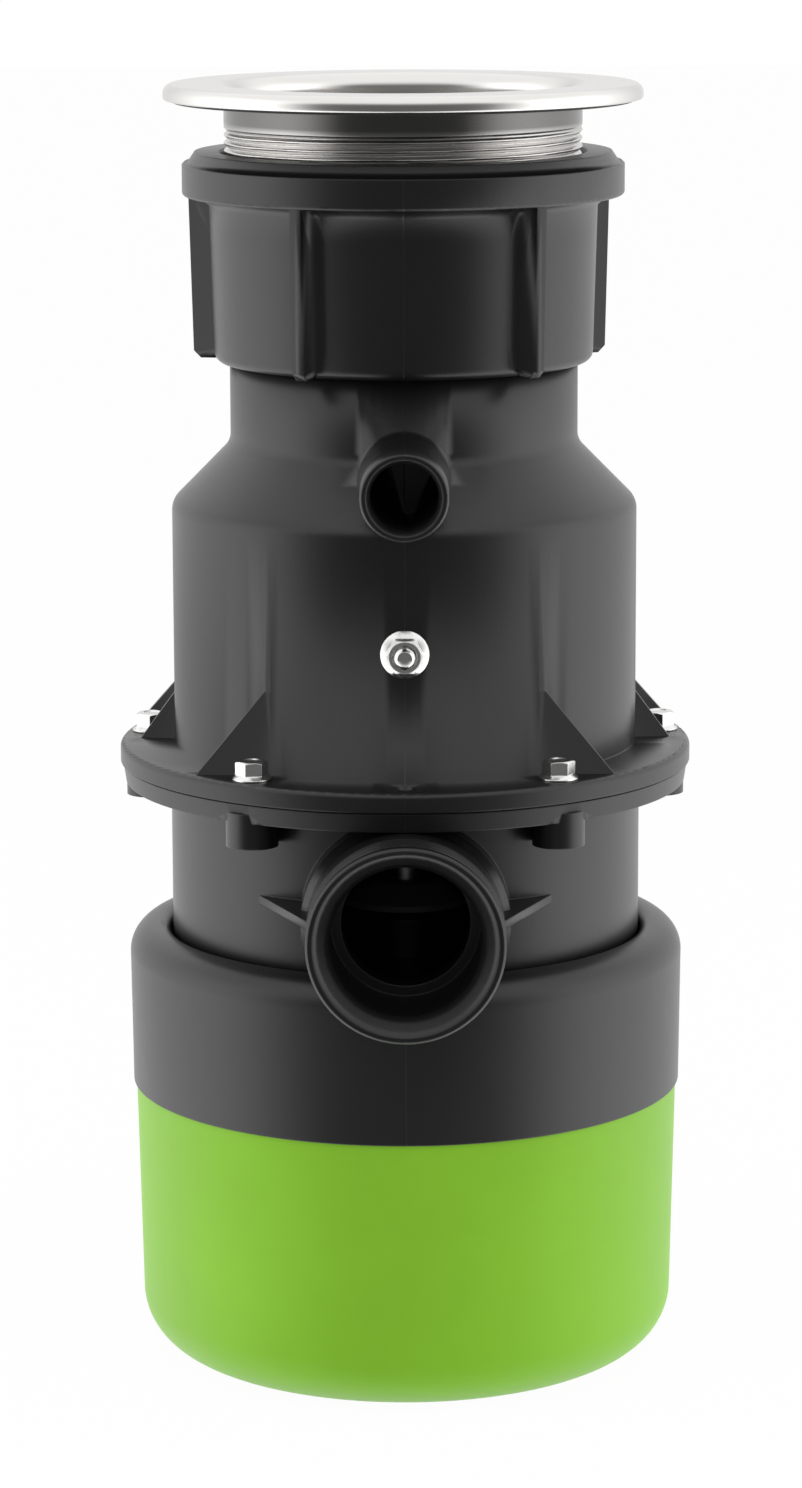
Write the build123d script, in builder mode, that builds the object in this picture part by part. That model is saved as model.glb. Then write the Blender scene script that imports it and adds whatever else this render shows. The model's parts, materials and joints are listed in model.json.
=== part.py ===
from build123d import *
import os
from math import cos, pi, radians, sin, sqrt

# Food waste disposer that hangs under a kitchen sink.
# Millimetres. +Z runs up the axis, Z = 0 is the base, the two water spigots face -Y.
# An azimuth is measured about +Z from the front (-Y) towards +X.

# Clearances
fit_gap = 0.3
bearing_gap = 0.05
thread_gap = 0.25
spin_gap = 0.7

# How far a cut, or a stem that joins a face, runs past that face
run_over = 1.0

# Green bottom cup
cup_height = 69.9
cup_step = 0.7
cup_draft = 1.2
cup_corner = 14.8
cup_wall = 2.5
cup_spigot_height = 7.0
cup_spigot_root = 2.0
base_recess_depth = 3.0
button_recess_radius = 9.0

# Motor cover above it
cover_height = 40.5
cover_radius = 70.0
cover_draft = 0.4
cover_wall = 2.6
cover_shoulder = 7.2
cover_lip = 3.1
cover_crest = 0.3
cover_screw_drop = 15.9
cover_screw_radius = 2.0
cover_screw_head = 3.2
cover_screw_sink = 1.6
cover_screw_head_height = 1.2
cover_screw_length = 8.3
driver_cross_length = 3.4
driver_cross_width = 0.8
driver_cross_depth = 0.8

# Drain housing, the lower half of the wet part
drain_inset = 11.4
drain_height = 53.3
drain_wall = 3.5
drain_floor_thickness = 5.5
lower_flange = 4.6
lower_flange_step = 0.6
lower_flange_draft = 0.7
gasket_thickness = 0.4
gasket_inset = 0.5

# Drain pipe with a G 1 1/2 outside thread
pipe_axis_lift = 24.6
pipe_reach = 86.9
pipe_radius = 23.9
pipe_collar_radius = 25.4
pipe_collar_reach = 63.5
pipe_collar_bevel = 1.5
pipe_edge = 0.6
pipe_bore = 18.2
pipe_throat = 15.6
pipe_throat_reach = 62.0
pipe_mouth = 22.4
pipe_mouth_depth = 5.1
pipe_thread_pitch = 2.309
pipe_thread_depth = 1.3
pipe_thread_turns = 4
pipe_lead = 2.2
thread_half_share = 0.45
pipe_gusset_lift = 2.5
pipe_gusset_spread = 35.7
pipe_gusset_reach = 77.0
pipe_gusset_tip = 1.5
pipe_gusset_bite = 2.5
gusset_thickness = 2.2

# Grinding housing, the upper half
upper_flange = 4.7
flange_reach = 13.7
flange_rounding = 1.4
body_step = 1.0
body_height = 65.3
cone_height = 15.0
neck_step = 0.95
neck_height = 29.0
housing_wall = 3.5
cone_rounding = 5.0

# Dishwasher inlet on the cone
inlet_drop = 3.3
inlet_reach = 80.7
inlet_radius = 10.55
inlet_root_radius = 11.2
inlet_bore = 8.15
inlet_flare = 8.6
inlet_edge = 0.5
inlet_plug = 1.5
inlet_mouth_bevel = 1.0

# Flange bolts, M4 hexagon flange screws in brass inserts
bolt_offset = 7.1
bolt_azimuths = (-34.7, 34.7, 98.0, 152.7, -152.7, -98.0)
bolt_radius = 2.0
bolt_length = 13.0
bolt_head_flats = 7.0
bolt_head_height = 3.6
bolt_head_dish = 0.6
bolt_dish_radius = 2.5
dish_taper = 30.0
skirt_taper = 12.0
bolt_flange_radius = 4.8
bolt_flange_height = 1.1
bolt_hole_gap = 0.25
boss_radius = 6.4
boss_height = 6.5
insert_radius = 3.1
insert_length = 8.0
locator_radius = 2.0
locator_depth = 3.0

# Gusset plates on the upper flange: distance from the front-to-back plane
# through the axis, what the foot leaves of the flange, and the height on the wall
gusset_plates = ((-47.1, 3.4, 20.4), (0.0, 5.1, 11.7), (18.0, 0.8, 15.3), (47.1, 3.4, 20.4))

# Mounting nut
nut_lift = 20.0
nut_height = 51.8
nut_wall = 3.6
nut_draft = 1.1
nut_foot_rounding = 2.5
nut_lip = 4.5
nut_lip_gap = 0.4
nut_cavity_height = 9.0
nut_cavity_bevel = 1.0
nut_rim_width = 6.6
nut_rim_rounding = 1.0
nut_rim_height = 10.7
nut_rim_bevel = 3.1
nut_cove = 2.4
nut_mouth_bevel = 1.1
rib_thickness = 2.9
rib_depth = 5.8
rib_head_inset = 0.9
rib_bite = 1.1
rib_overlap = 0.5
rib_foot_rounding = 1.8
rib_azimuths = (-98.0, -28.7, 38.0, 108.0, 185.0)
nut_groove = 0.5

# Sink flange with its threaded sleeve
sink_gap = 12.2
seal_drop = 0.6
flange_sheet = 1.2
sink_flange_radius = 59.2
sink_lip_height = 3.9
sink_edge_rounding = 2.4
mouth_rounding = 4.0
sleeve_radius = 44.25
sleeve_wall = 2.25
sleeve_length = 45.5
sleeve_band = 10.1
sleeve_pitch = 2.0
sleeve_thread_depth = 0.95

# Ring that keeps the nut on the neck, and the rubber splash guard
snap_thickness = 1.6
snap_reach = 1.6
snap_groove_depth = 1.3
snap_split = 8.0
guard_rim = 2.0
guard_wall = 1.6
guard_depth = 12.0
guard_drop = 9.0
guard_hole = 9.0
guard_slits = 8
guard_slit_width = 0.8

# Fixed shredder ring on three studs
ring_height = 38.0
ring_wall = 3.6
ring_lift = 12.5
ring_teeth = 24
ring_tooth_gap = 3.0
ring_tooth_height = 9.0
ring_ribs = 6
ring_rib_depth = 1.6
ring_rib_width = 5.0
stud_lift = 36.1
stud_count = 3
stud_radius = 2.5
stud_end = 1.6
stud_nut_flats = 8.0
stud_nut_height = 3.6
stud_nut_flange = 5.9
stud_nut_flange_height = 1.2
stud_nut_turn = 30

# Turning disc with its two swinging impellers
disc_thickness = 3.0
disc_lift = 15.0
disc_hub_radius = 13.0
disc_hub_height = 9.0
disc_hub_rounding = 2.0
disc_holes = 12
disc_hole_turn = 15
disc_hole_radius = 2.0
disc_hole_margin = 3.9
impeller_margin = 15.4
impeller_pin_radius = 3.0
impeller_length = 13.0
impeller_width = 11.0
impeller_nose_taper = 1.5
impeller_height = 9.0
impeller_eye = 5.5
pin_head_radius = 4.6
pin_head_height = 1.6

# Shaft and its seals
shaft_radius = 6.0
shaft_top_radius = 5.0
shaft_foot_radius = 4.0
shaft_step = 1.0
disc_nut_flats = 16.0
disc_nut_height = 7.0
disc_washer_radius = 10.5
disc_washer_height = 1.5
shaft_end = 2.0
seal_radius = 13.0
seal_height = 7.0
seal_boss_radius = 18.0
seal_boss_height = 9.5
seal_shelf = 2.0
seal_lip_lift = 4.2
seal_lip_root = 3.5
seal_groove = 3.0
seal_mouth_gap = 1.0
seal_dish = 2.0
shaft_hole_gap = 2.0
slinger_radius = 17.0
slinger_height = 6.0
slinger_rim = 1.5
slinger_sleeve = 3.0
slinger_lift = 1.5

# Motor carried under the drain housing
pillar_height = 6.0
pillar_radius = 4.4
pillar_inset = 5.1
pillar_count = 4
pillar_turn = 45
plate_skin = 1.5
ear_width = 11.0
ear_height = 14.9
ear_root = 8.0
mount_screw_radius = 2.0
mount_screw_head = 3.5
mount_screw_head_height = 2.6
socket_radius = 1.6
socket_depth = 1.6
can_inset = 8.4
can_wall = 2.6
magnet_thickness = 6.0
magnet_span = 118.0
magnet_overhang = 5.0
core_lift = 22.0
core_slots = 12
core_slot_depth = 15.0
core_tip = 3.0
core_tooth_gap = 2.4
winding_room = 4.0
winding_liner = 0.4
winding_rounding = 2.5
winding_reach = 6.0
winding_inner = 13.0
commutator_radius = 13.0
commutator_lift = 2.6
commutator_bars = 24
commutator_riser = 1.5
commutator_riser_height = 1.5
bar_gap_depth = 0.8
bar_gap_width = 0.6
bell_skin = 1.5
bell_room = 5.0
bell_leg_radius = 4.5
bell_leg_inset = 12.0
bell_legs = 3
tie_bolt_inset = 3.5
tie_bolt_radius = 1.7
tie_bolt_head = 3.2
tie_bolt_head_height = 2.4
tie_bolt_room = 1.0
brush_width = 8.0
brush_height = 6.0
brush_length = 13.0
brush_box_wall = 1.2
brush_box_room = 5.35
brush_stand_out = 2.0
brush_card_thickness = 1.6
card_hole_gap = 1.0
brush_spring_wire = 0.35
brush_spring_radius = 2.0
brush_spring_turns = 6

# Ball bearings on the shaft's two journals
upper_bearing_radius = 14.0
upper_bearing_width = 8.0
upper_ball_radius = 2.3
upper_ball_count = 8
lower_bearing_radius = 11.0
lower_bearing_width = 7.0
lower_ball_radius = 1.9
lower_ball_count = 7
race_share = 0.6
cage_share = 0.35
cage_lip = 0.7

# Electrical parts in the base
protector_width = 26.0
protector_depth = 16.0
protector_height = 10.0
protector_roof = 1.5
protector_offset = 30.0
button_radius = 4.0
button_collar_radius = 5.2
button_collar_height = 1.2
button_stand_back = 1.2
button_spring_wire = 0.4
button_spring_inset = 0.6
button_spring_turns = 4
board_azimuth = 135.0
board_width = 26.0
board_thickness = 1.6
board_height = 34.0
bracket_height = 12.0
bracket_thickness = 1.2
bracket_opening = 14.0
rectifier_width = 15.0
rectifier_thickness = 3.4
rectifier_height = 15.0
rectifier_lift = 5.0
gland_height = 36.0
gland_bore = 4.5
gland_radius = 8.0
gland_flange_radius = 11.5
gland_flange = 3.0
gland_nut_flats = 22.0
gland_nut_height = 3.5
gland_end = 0.5
gland_taper = 10.0
base_screw_radius = 1.8
base_screw_head = 3.2
base_screw_head_height = 2.0
base_screw_length = 9.0

# Radii, worked out inwards from the cover and outwards from the sleeve
cover_seam_radius = cover_radius - cover_draft
drain_radius = cover_radius - cover_shoulder - cover_crest - cover_lip - fit_gap
body_radius = drain_radius - body_step
flange_radius = body_radius + flange_reach
lower_flange_radius = flange_radius - lower_flange_step
bolt_circle = body_radius + bolt_offset
sleeve_bore = sleeve_radius - sleeve_wall
neck_radius = sleeve_radius - neck_step
snap_radius = neck_radius + snap_reach
nut_thread_bore = sleeve_radius + thread_gap
nut_mouth_radius = nut_thread_bore + nut_mouth_bevel
nut_skirt_radius = nut_thread_bore + nut_wall
nut_foot_radius = nut_skirt_radius - nut_draft
nut_cavity_radius = snap_radius + nut_lip_gap
nut_rim_radius = nut_skirt_radius + nut_rim_width
rib_foot_radius = nut_foot_radius + rib_depth
rib_head_radius = nut_rim_radius - rib_head_inset
cup_top_radius = cover_seam_radius - cup_step
cup_base_radius = cup_top_radius - cup_draft
cup_spigot_radius = cover_seam_radius - cover_wall - fit_gap
cup_inside = cup_spigot_radius - cup_wall
pillar_circle = drain_radius - pillar_inset
plate_radius = pillar_circle + pillar_radius
can_radius = plate_radius - can_inset
upper_ball_circle = (shaft_radius + upper_bearing_radius) / 2
lower_ball_circle = (shaft_foot_radius + lower_bearing_radius) / 2

# Heights, worked out upwards from the base
cover_top = cup_height + cover_height
drain_foot = cover_top - drain_inset
parting = drain_foot + drain_height
gasket_top = parting + gasket_thickness
flange_top = gasket_top + upper_flange
body_top = gasket_top + body_height
neck_foot = body_top + cone_height
neck_top = neck_foot + neck_height
nut_foot = neck_foot + nut_lift
nut_top = nut_foot + nut_height
nut_rim_foot = nut_top - nut_rim_height
rim_top = nut_top + sink_gap + seal_drop + sink_lip_height
sleeve_foot = rim_top - sleeve_length

drain_floor = drain_foot + drain_floor_thickness
drain_bore = drain_radius - drain_wall
pipe_axis = drain_foot + pipe_axis_lift
body_bore = body_radius - housing_wall
neck_bore = neck_radius - housing_wall
inlet_axis = neck_foot - inlet_drop
ring_foot = gasket_top + ring_lift
ring_radius = body_bore - fit_gap
ring_bore = ring_radius - ring_wall
stud_height = gasket_top + stud_lift
disc_foot = gasket_top + disc_lift
disc_top = disc_foot + disc_thickness
disc_radius = ring_bore - ring_rib_depth - spin_gap
disc_hole_circle = disc_radius - disc_hole_margin
impeller_circle = disc_radius - impeller_margin

cup_floor = base_recess_depth + cup_wall
protector_top = cup_floor + protector_height
bell_foot = protector_top + bell_room
bell_thickness = lower_bearing_width + bell_skin
can_foot = bell_foot + bell_thickness
plate_top = drain_foot - pillar_height
plate_thickness = upper_bearing_width + plate_skin
plate_foot = plate_top - plate_thickness
can_length = plate_foot - can_foot
can_bore = can_radius - can_wall
magnet_bore = can_bore - magnet_thickness
core_radius = magnet_bore - spin_gap
core_foot = can_foot + core_lift
core_top = plate_foot - winding_room - winding_reach
core_length = core_top - core_foot
commutator_foot = can_foot + commutator_lift
commutator_top = core_foot - winding_reach - fit_gap
upper_bearing_foot = plate_top - upper_bearing_width
lower_bearing_foot = can_foot - lower_bearing_width
tie_bolt_circle = can_bore - tie_bolt_inset
bell_leg_circle = can_radius - bell_leg_inset
side_azimuths = (90, -90)
front_and_back = (0, 180)
seal_foot = drain_floor + seal_boss_height - seal_height
bend_share = 1 - sqrt(0.5)


def facing(azimuth, height=0):
    """Upright plane through the axis: x runs out at the azimuth, y runs up."""
    turn = radians(azimuth)
    return Plane(
        origin=(0, 0, height),
        x_dir=(sin(turn), -cos(turn), 0),
        z_dir=(-cos(turn), -sin(turn), 0),
    )


def outward(azimuth, distance, height):
    """Plane that faces outwards at a distance from the axis, y up."""
    turn = radians(azimuth)
    return Plane(
        origin=(distance * sin(turn), -distance * cos(turn), height),
        x_dir=(cos(turn), sin(turn), 0),
        z_dir=(sin(turn), -cos(turn), 0),
    )


def around(circle, azimuth):
    """Point on a circle about the axis."""
    turn = radians(azimuth)
    return (circle * sin(turn), -circle * cos(turn))


def disc(height, outer, inner=0.0):
    """Flat disc or ring about the axis at a height."""
    with BuildSketch(Plane.XY.offset(height)) as flat:
        Circle(outer)
        if inner > 0:
            Circle(inner, mode=Mode.SUBTRACT)
    return flat.sketch


def turned(*points):
    """Half section with straight sides, ready to revolve about the axis."""
    with BuildSketch(Plane.XZ) as half:
        with BuildLine():
            Polyline(*points, close=True)
        make_face()
    return half.sketch


def groove(middle, face, depth, pitch):
    """Corners of one V groove: places along a thread and distances from its axis."""
    half = pitch * thread_half_share
    return [(middle - half, face + depth / 4), (middle, face - depth), (middle + half, face + depth / 4)]


def ring_edges(solid, radius, height):
    """Round edges of a turned solid at one radius and height."""
    return (
        solid.edges()
        .filter_by(GeomType.CIRCLE)
        .filter_by(lambda edge: abs(edge.radius - radius) < 0.01)
        .filter_by(lambda edge: abs(edge.center().Z - height) < 0.01)
    )


def cover_outside(height):
    """Radius of the motor cover's leaning side at a height."""
    lean = (cover_radius - cover_seam_radius) / (cover_height - cover_shoulder)
    return cover_seam_radius + lean * (height - cup_height)


# Sink flange: pressed steel rim and threaded sleeve in one piece
mouth_radius = sleeve_bore + mouth_rounding
mouth_bend = mouth_rounding * bend_share
edge_bend = sink_edge_rounding * bend_share
edge_radius = sink_flange_radius - sink_edge_rounding
edge_foot = rim_top - sink_lip_height
sheet_foot = rim_top - flange_sheet
sleeve_turns = int((sleeve_length - sleeve_band) / sleeve_pitch)
with BuildPart() as sink_flange:
    with BuildSketch(Plane.XZ):
        with BuildLine():
            Polyline(
                (sleeve_bore, rim_top - mouth_rounding),
                (sleeve_bore, sleeve_foot),
                (sleeve_radius, sleeve_foot),
                (sleeve_radius, sheet_foot),
                (edge_radius, sheet_foot),
                (sink_flange_radius - flange_sheet, sheet_foot - sink_edge_rounding / 2),
                (sink_flange_radius - flange_sheet, edge_foot),
                (sink_flange_radius - flange_sheet / 3, edge_foot),
                (sink_flange_radius, edge_foot + flange_sheet / 2),
                (sink_flange_radius, rim_top - sink_edge_rounding),
            )
            ThreePointArc(
                (sink_flange_radius, rim_top - sink_edge_rounding),
                (sink_flange_radius - edge_bend, rim_top - edge_bend),
                (edge_radius, rim_top),
            )
            Line((edge_radius, rim_top), (mouth_radius, rim_top))
            ThreePointArc(
                (mouth_radius, rim_top),
                (sleeve_bore + mouth_bend, rim_top - mouth_bend),
                (sleeve_bore, rim_top - mouth_rounding),
            )
        make_face()
    revolve(axis=Axis.Z)
    with BuildSketch(Plane.XZ) as sleeve_grooves:
        for turn in range(sleeve_turns):
            middle = rim_top - sleeve_band - sleeve_pitch * (turn + 0.5)
            corners = groove(middle, sleeve_radius, sleeve_thread_depth, sleeve_pitch)
            with BuildLine():
                Polyline(*[(distance, height) for height, distance in corners], close=True)
            make_face()
    revolve(axis=Axis.Z, mode=Mode.SUBTRACT)
sink_flange.part.label = "sink_flange"
export_step(sink_flange.part, "parts/sink_flange.step")

# Rubber seal between the rim and the sink
seal_seat = edge_foot - seal_drop
with BuildPart() as sink_seal:
    extrude(disc(seal_seat, edge_radius, sleeve_radius + bearing_gap), amount=sheet_foot - seal_seat)
sink_seal.part.label = "sink_seal"
export_step(sink_seal.part, "parts/sink_seal.step")

# Mounting nut: it turns on the neck and draws the sleeve down
nut_cavity_top = nut_foot + nut_lip + nut_cavity_height
nut_rim_break = nut_top - nut_rim_bevel
with BuildPart() as mounting_nut:
    revolve(
        turned(
            (neck_radius + nut_lip_gap, nut_foot),
            (nut_foot_radius, nut_foot),
            (nut_skirt_radius, nut_rim_foot - nut_cove),
            (nut_skirt_radius + nut_cove, nut_rim_foot),
            (nut_rim_radius, nut_rim_foot),
            (nut_rim_radius, nut_rim_break),
            (nut_rim_radius - nut_groove, nut_rim_break + nut_groove),
            (nut_rim_radius - 2 * nut_groove, nut_rim_break),
            (nut_rim_radius - nut_rim_bevel, nut_top),
            (nut_mouth_radius, nut_top),
            (nut_thread_bore, nut_top - 2 * nut_mouth_bevel),
            (nut_thread_bore, nut_cavity_top),
            (nut_cavity_radius, nut_cavity_top - nut_cavity_bevel),
            (nut_cavity_radius, nut_foot + nut_lip),
            (neck_radius + nut_lip_gap, nut_foot + nut_lip),
        ),
        axis=Axis.Z,
    )
    fillet(ring_edges(mounting_nut.part, nut_foot_radius, nut_foot), nut_foot_rounding)
    fillet(ring_edges(mounting_nut.part, nut_rim_radius, nut_rim_foot), nut_rim_rounding)
    for azimuth in rib_azimuths:
        with BuildSketch(facing(azimuth)) as rib_side:
            with BuildLine():
                Polyline(
                    (nut_foot_radius - rib_bite, nut_foot + nut_foot_rounding),
                    (nut_foot_radius, nut_foot),
                    (rib_foot_radius - rib_foot_rounding, nut_foot),
                    (rib_foot_radius, nut_foot + rib_foot_rounding),
                    (rib_head_radius, nut_rim_foot + rib_overlap),
                    (nut_foot_radius - rib_bite, nut_rim_foot + rib_overlap),
                    close=True,
                )
            make_face()
        extrude(amount=rib_thickness / 2, both=True)
mounting_nut.part.label = "mounting_nut"
export_step(mounting_nut.part, "parts/mounting_nut.step")

# Snap ring in a groove of the neck: the nut hangs the machine from it
snap_foot = nut_foot + nut_lip + fit_gap
with BuildPart() as snap_ring:
    extrude(disc(snap_foot, snap_radius, neck_radius - snap_groove_depth), amount=snap_thickness)
    with BuildSketch(Plane.XY.offset(snap_foot)):
        with Locations((0, neck_radius)):
            Rectangle(snap_split, neck_radius / 2)
    extrude(amount=snap_thickness, mode=Mode.SUBTRACT)
snap_ring.part.label = "snap_ring"
export_step(snap_ring.part, "parts/snap_ring.step")

# Rubber splash guard, which also seals the sleeve to the neck
guard_radius = neck_bore - fit_gap
guard_foot = neck_top - guard_depth
with BuildPart() as splash_guard:
    revolve(
        turned(
            (guard_radius - guard_wall, neck_top + guard_rim),
            (neck_radius - fit_gap, neck_top + guard_rim),
            (neck_radius - fit_gap, neck_top),
            (guard_radius, neck_top),
            (guard_radius, guard_foot),
            (guard_hole, guard_foot - guard_drop),
            (guard_hole, guard_foot - guard_drop + guard_wall),
            (guard_radius - guard_wall, guard_foot + guard_wall),
        ),
        axis=Axis.Z,
    )
    with BuildSketch(Plane.XY.offset(guard_foot - guard_drop - run_over)):
        with PolarLocations(guard_radius / 2, guard_slits):
            Rectangle(guard_radius - 4 * guard_wall, guard_slit_width)
    extrude(amount=guard_drop + guard_wall + run_over, mode=Mode.SUBTRACT)
splash_guard.part.label = "splash_guard"
export_step(splash_guard.part, "parts/splash_guard.step")

# Grinding housing. Its cone keeps the wall's thickness, and a thin plug that the
# installer knocks out closes the inlet's bore just short of the inside.
cone_run = body_radius - neck_radius
cone_length = sqrt(cone_height**2 + cone_run**2)
cone_drop = housing_wall * (cone_length - cone_height) / cone_run
plug_rise = inlet_axis - inlet_bore - body_top + cone_drop
inlet_end = body_bore - plug_rise * cone_run / cone_height + inlet_plug
with BuildPart() as grind_housing:
    revolve(
        turned(
            (0, gasket_top),
            (flange_radius, gasket_top),
            (flange_radius, flange_top),
            (body_radius, flange_top),
            (body_radius, body_top),
            (neck_radius, neck_foot),
            (neck_radius, neck_top),
            (0, neck_top),
        ),
        axis=Axis.Z,
    )
    fillet(ring_edges(grind_housing.part, body_radius, body_top), cone_rounding)
    fillet(ring_edges(grind_housing.part, neck_radius, neck_foot), cone_rounding)
    fillet(ring_edges(grind_housing.part, flange_radius, flange_top), flange_rounding)
    for side in (-1, 1):
        for offset_y, margin, height in gusset_plates:
            wall_x = sqrt(body_radius**2 - offset_y**2)
            foot_x = sqrt(flange_radius**2 - offset_y**2) - margin
            with BuildSketch(Plane.XZ.offset(-offset_y)) as plate:
                with BuildLine():
                    Polyline(
                        (side * (wall_x - housing_wall / 2), flange_top - run_over),
                        (side * foot_x, flange_top - run_over),
                        (side * foot_x, flange_top),
                        (side * wall_x, flange_top + height),
                        (side * (wall_x - housing_wall / 2), flange_top + height),
                        close=True,
                    )
                make_face()
            extrude(amount=gusset_thickness / 2, both=True)
    with BuildSketch(Plane.YZ) as inlet_half:
        with BuildLine():
            Polyline(
                (-neck_bore, inlet_axis),
                (-inlet_reach, inlet_axis),
                (-inlet_reach, inlet_axis + inlet_radius - inlet_edge),
                (-inlet_reach + inlet_edge, inlet_axis + inlet_radius),
                (-body_radius - inlet_flare, inlet_axis + inlet_radius),
                (-body_radius, inlet_axis + inlet_root_radius),
                (-neck_bore, inlet_axis + inlet_root_radius),
                close=True,
            )
        make_face()
    revolve(axis=Axis((0, 0, inlet_axis), (0, 1, 0)))
    revolve(
        turned(
            (0, gasket_top),
            (body_bore, gasket_top),
            (body_bore, body_top - cone_drop),
            (neck_bore, neck_foot - cone_drop),
            (neck_bore, neck_top),
            (0, neck_top),
        ),
        axis=Axis.Z,
        mode=Mode.SUBTRACT,
    )
    with BuildSketch(outward(0, inlet_reach, inlet_axis)):
        Circle(inlet_bore)
    extrude(amount=inlet_end - inlet_reach, mode=Mode.SUBTRACT)
    with BuildSketch(Plane.YZ) as mouth_half:
        with BuildLine():
            Polyline(
                (-inlet_reach, inlet_axis),
                (-inlet_reach, inlet_axis + inlet_bore + inlet_mouth_bevel),
                (-inlet_reach + inlet_mouth_bevel, inlet_axis + inlet_bore),
                (-inlet_reach + inlet_mouth_bevel, inlet_axis),
                close=True,
            )
        make_face()
    revolve(axis=Axis((0, 0, inlet_axis), (0, 1, 0)), mode=Mode.SUBTRACT)
    extrude(
        disc(snap_foot, neck_radius + run_over, neck_radius - snap_groove_depth),
        amount=snap_thickness,
        mode=Mode.SUBTRACT,
    )
    with BuildSketch(Plane.XY.offset(gasket_top)):
        with Locations(*[around(bolt_circle, azimuth) for azimuth in bolt_azimuths]):
            Circle(bolt_radius + bolt_hole_gap)
    extrude(amount=upper_flange, mode=Mode.SUBTRACT)
    with BuildSketch(Plane.XY.offset(flange_top)):
        with Locations(around(bolt_circle, 0)):
            Circle(locator_radius)
    extrude(amount=-locator_depth, mode=Mode.SUBTRACT)
    for stud in range(stud_count):
        with BuildSketch(outward(stud * 360 / stud_count, body_bore - run_over, stud_height)):
            Circle(stud_radius + bolt_hole_gap)
        extrude(amount=housing_wall + 2 * run_over, mode=Mode.SUBTRACT)
grind_housing.part.label = "grind_housing"
export_step(grind_housing.part, "parts/grind_housing.step")

# Drain housing
with BuildPart() as drain_housing:
    revolve(
        turned(
            (0, drain_foot),
            (drain_radius, drain_foot),
            (drain_radius, parting - lower_flange),
            (lower_flange_radius - lower_flange_draft, parting - lower_flange),
            (lower_flange_radius, parting),
            (0, parting),
        ),
        axis=Axis.Z,
    )
    with BuildSketch(Plane.XY.offset(parting - lower_flange - boss_height)):
        with Locations(*[around(bolt_circle, azimuth) for azimuth in bolt_azimuths]):
            Circle(boss_radius)
    extrude(amount=boss_height + lower_flange / 2)
    with BuildSketch(Plane.YZ) as pipe_half:
        with BuildLine():
            Polyline(
                (-drain_bore + drain_wall, pipe_axis),
                (-pipe_reach, pipe_axis),
                (-pipe_reach, pipe_axis + pipe_radius - pipe_edge),
                (-pipe_reach + pipe_edge, pipe_axis + pipe_radius),
                (-pipe_collar_reach - pipe_collar_bevel, pipe_axis + pipe_radius),
                (-pipe_collar_reach, pipe_axis + pipe_collar_radius),
                (-drain_bore + drain_wall, pipe_axis + pipe_collar_radius),
                close=True,
            )
        make_face()
    revolve(axis=Axis((0, 0, pipe_axis), (0, 1, 0)))
    pipe_thread_end = pipe_reach - pipe_lead
    with BuildSketch(Plane.YZ) as pipe_grooves:
        for turn in range(pipe_thread_turns):
            middle = -pipe_thread_end + pipe_thread_pitch * (turn + 0.5)
            with BuildLine():
                Polyline(
                    *groove(middle, pipe_axis + pipe_radius, pipe_thread_depth, pipe_thread_pitch),
                    close=True,
                )
            make_face()
    revolve(axis=Axis((0, 0, pipe_axis), (0, 1, 0)), mode=Mode.SUBTRACT)
    gusset_wall = sqrt(drain_radius**2 - pipe_gusset_spread**2)
    for side in (-1, 1):
        with BuildSketch(Plane.XY.offset(pipe_axis + pipe_gusset_lift - gusset_thickness / 2)):
            with BuildLine():
                Polyline(
                    (side * pipe_gusset_spread, -gusset_wall),
                    (side * (pipe_radius - pipe_gusset_bite + pipe_gusset_tip), -pipe_gusset_reach),
                    (side * (pipe_radius - pipe_gusset_bite), -pipe_gusset_reach),
                    (side * (pipe_radius - pipe_gusset_bite), -gusset_wall),
                    close=True,
                )
            make_face()
        extrude(amount=gusset_thickness)
    with BuildSketch(Plane.XY.offset(drain_foot - pillar_height)):
        with PolarLocations(pillar_circle, pillar_count, pillar_turn):
            Circle(pillar_radius)
    extrude(amount=pillar_height + run_over)
    extrude(disc(drain_floor, drain_bore), amount=parting - drain_floor, mode=Mode.SUBTRACT)
    extrude(disc(drain_floor, seal_boss_radius), amount=seal_boss_height)
    extrude(disc(seal_foot, seal_radius), amount=seal_height, mode=Mode.SUBTRACT)
    extrude(
        disc(drain_foot, shaft_radius + shaft_hole_gap),
        amount=seal_foot - drain_foot,
        mode=Mode.SUBTRACT,
    )
    with BuildSketch(Plane.YZ) as bore_half:
        with BuildLine():
            Polyline(
                (-pipe_reach, pipe_axis),
                (-pipe_reach, pipe_axis + pipe_mouth),
                (-pipe_reach + pipe_mouth_depth, pipe_axis + pipe_bore),
                (-pipe_throat_reach, pipe_axis + pipe_bore),
                (-pipe_throat_reach, pipe_axis + pipe_throat),
                (-drain_bore + drain_wall, pipe_axis + pipe_throat),
                (-drain_bore + drain_wall, pipe_axis),
                close=True,
            )
        make_face()
    revolve(axis=Axis((0, 0, pipe_axis), (0, 1, 0)), mode=Mode.SUBTRACT)
    with BuildSketch(Plane.XY.offset(parting)):
        with Locations(*[around(bolt_circle, azimuth) for azimuth in bolt_azimuths]):
            Circle(insert_radius)
    extrude(amount=-insert_length, mode=Mode.SUBTRACT)
    with BuildSketch(Plane.XY.offset(parting - insert_length)):
        with Locations(*[around(bolt_circle, azimuth) for azimuth in bolt_azimuths]):
            Circle(bolt_radius + bolt_hole_gap)
    bolt_end = bolt_length - upper_flange - gasket_thickness - insert_length
    extrude(amount=-(bolt_end + run_over), mode=Mode.SUBTRACT)
    with BuildSketch(Plane.XY.offset(drain_foot - pillar_height)):
        with PolarLocations(pillar_circle, pillar_count, pillar_turn):
            Circle(mount_screw_radius)
    extrude(amount=pillar_height + drain_floor_thickness / 2, mode=Mode.SUBTRACT)
drain_housing.part.label = "drain_housing"
export_step(drain_housing.part, "parts/drain_housing.step")

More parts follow.
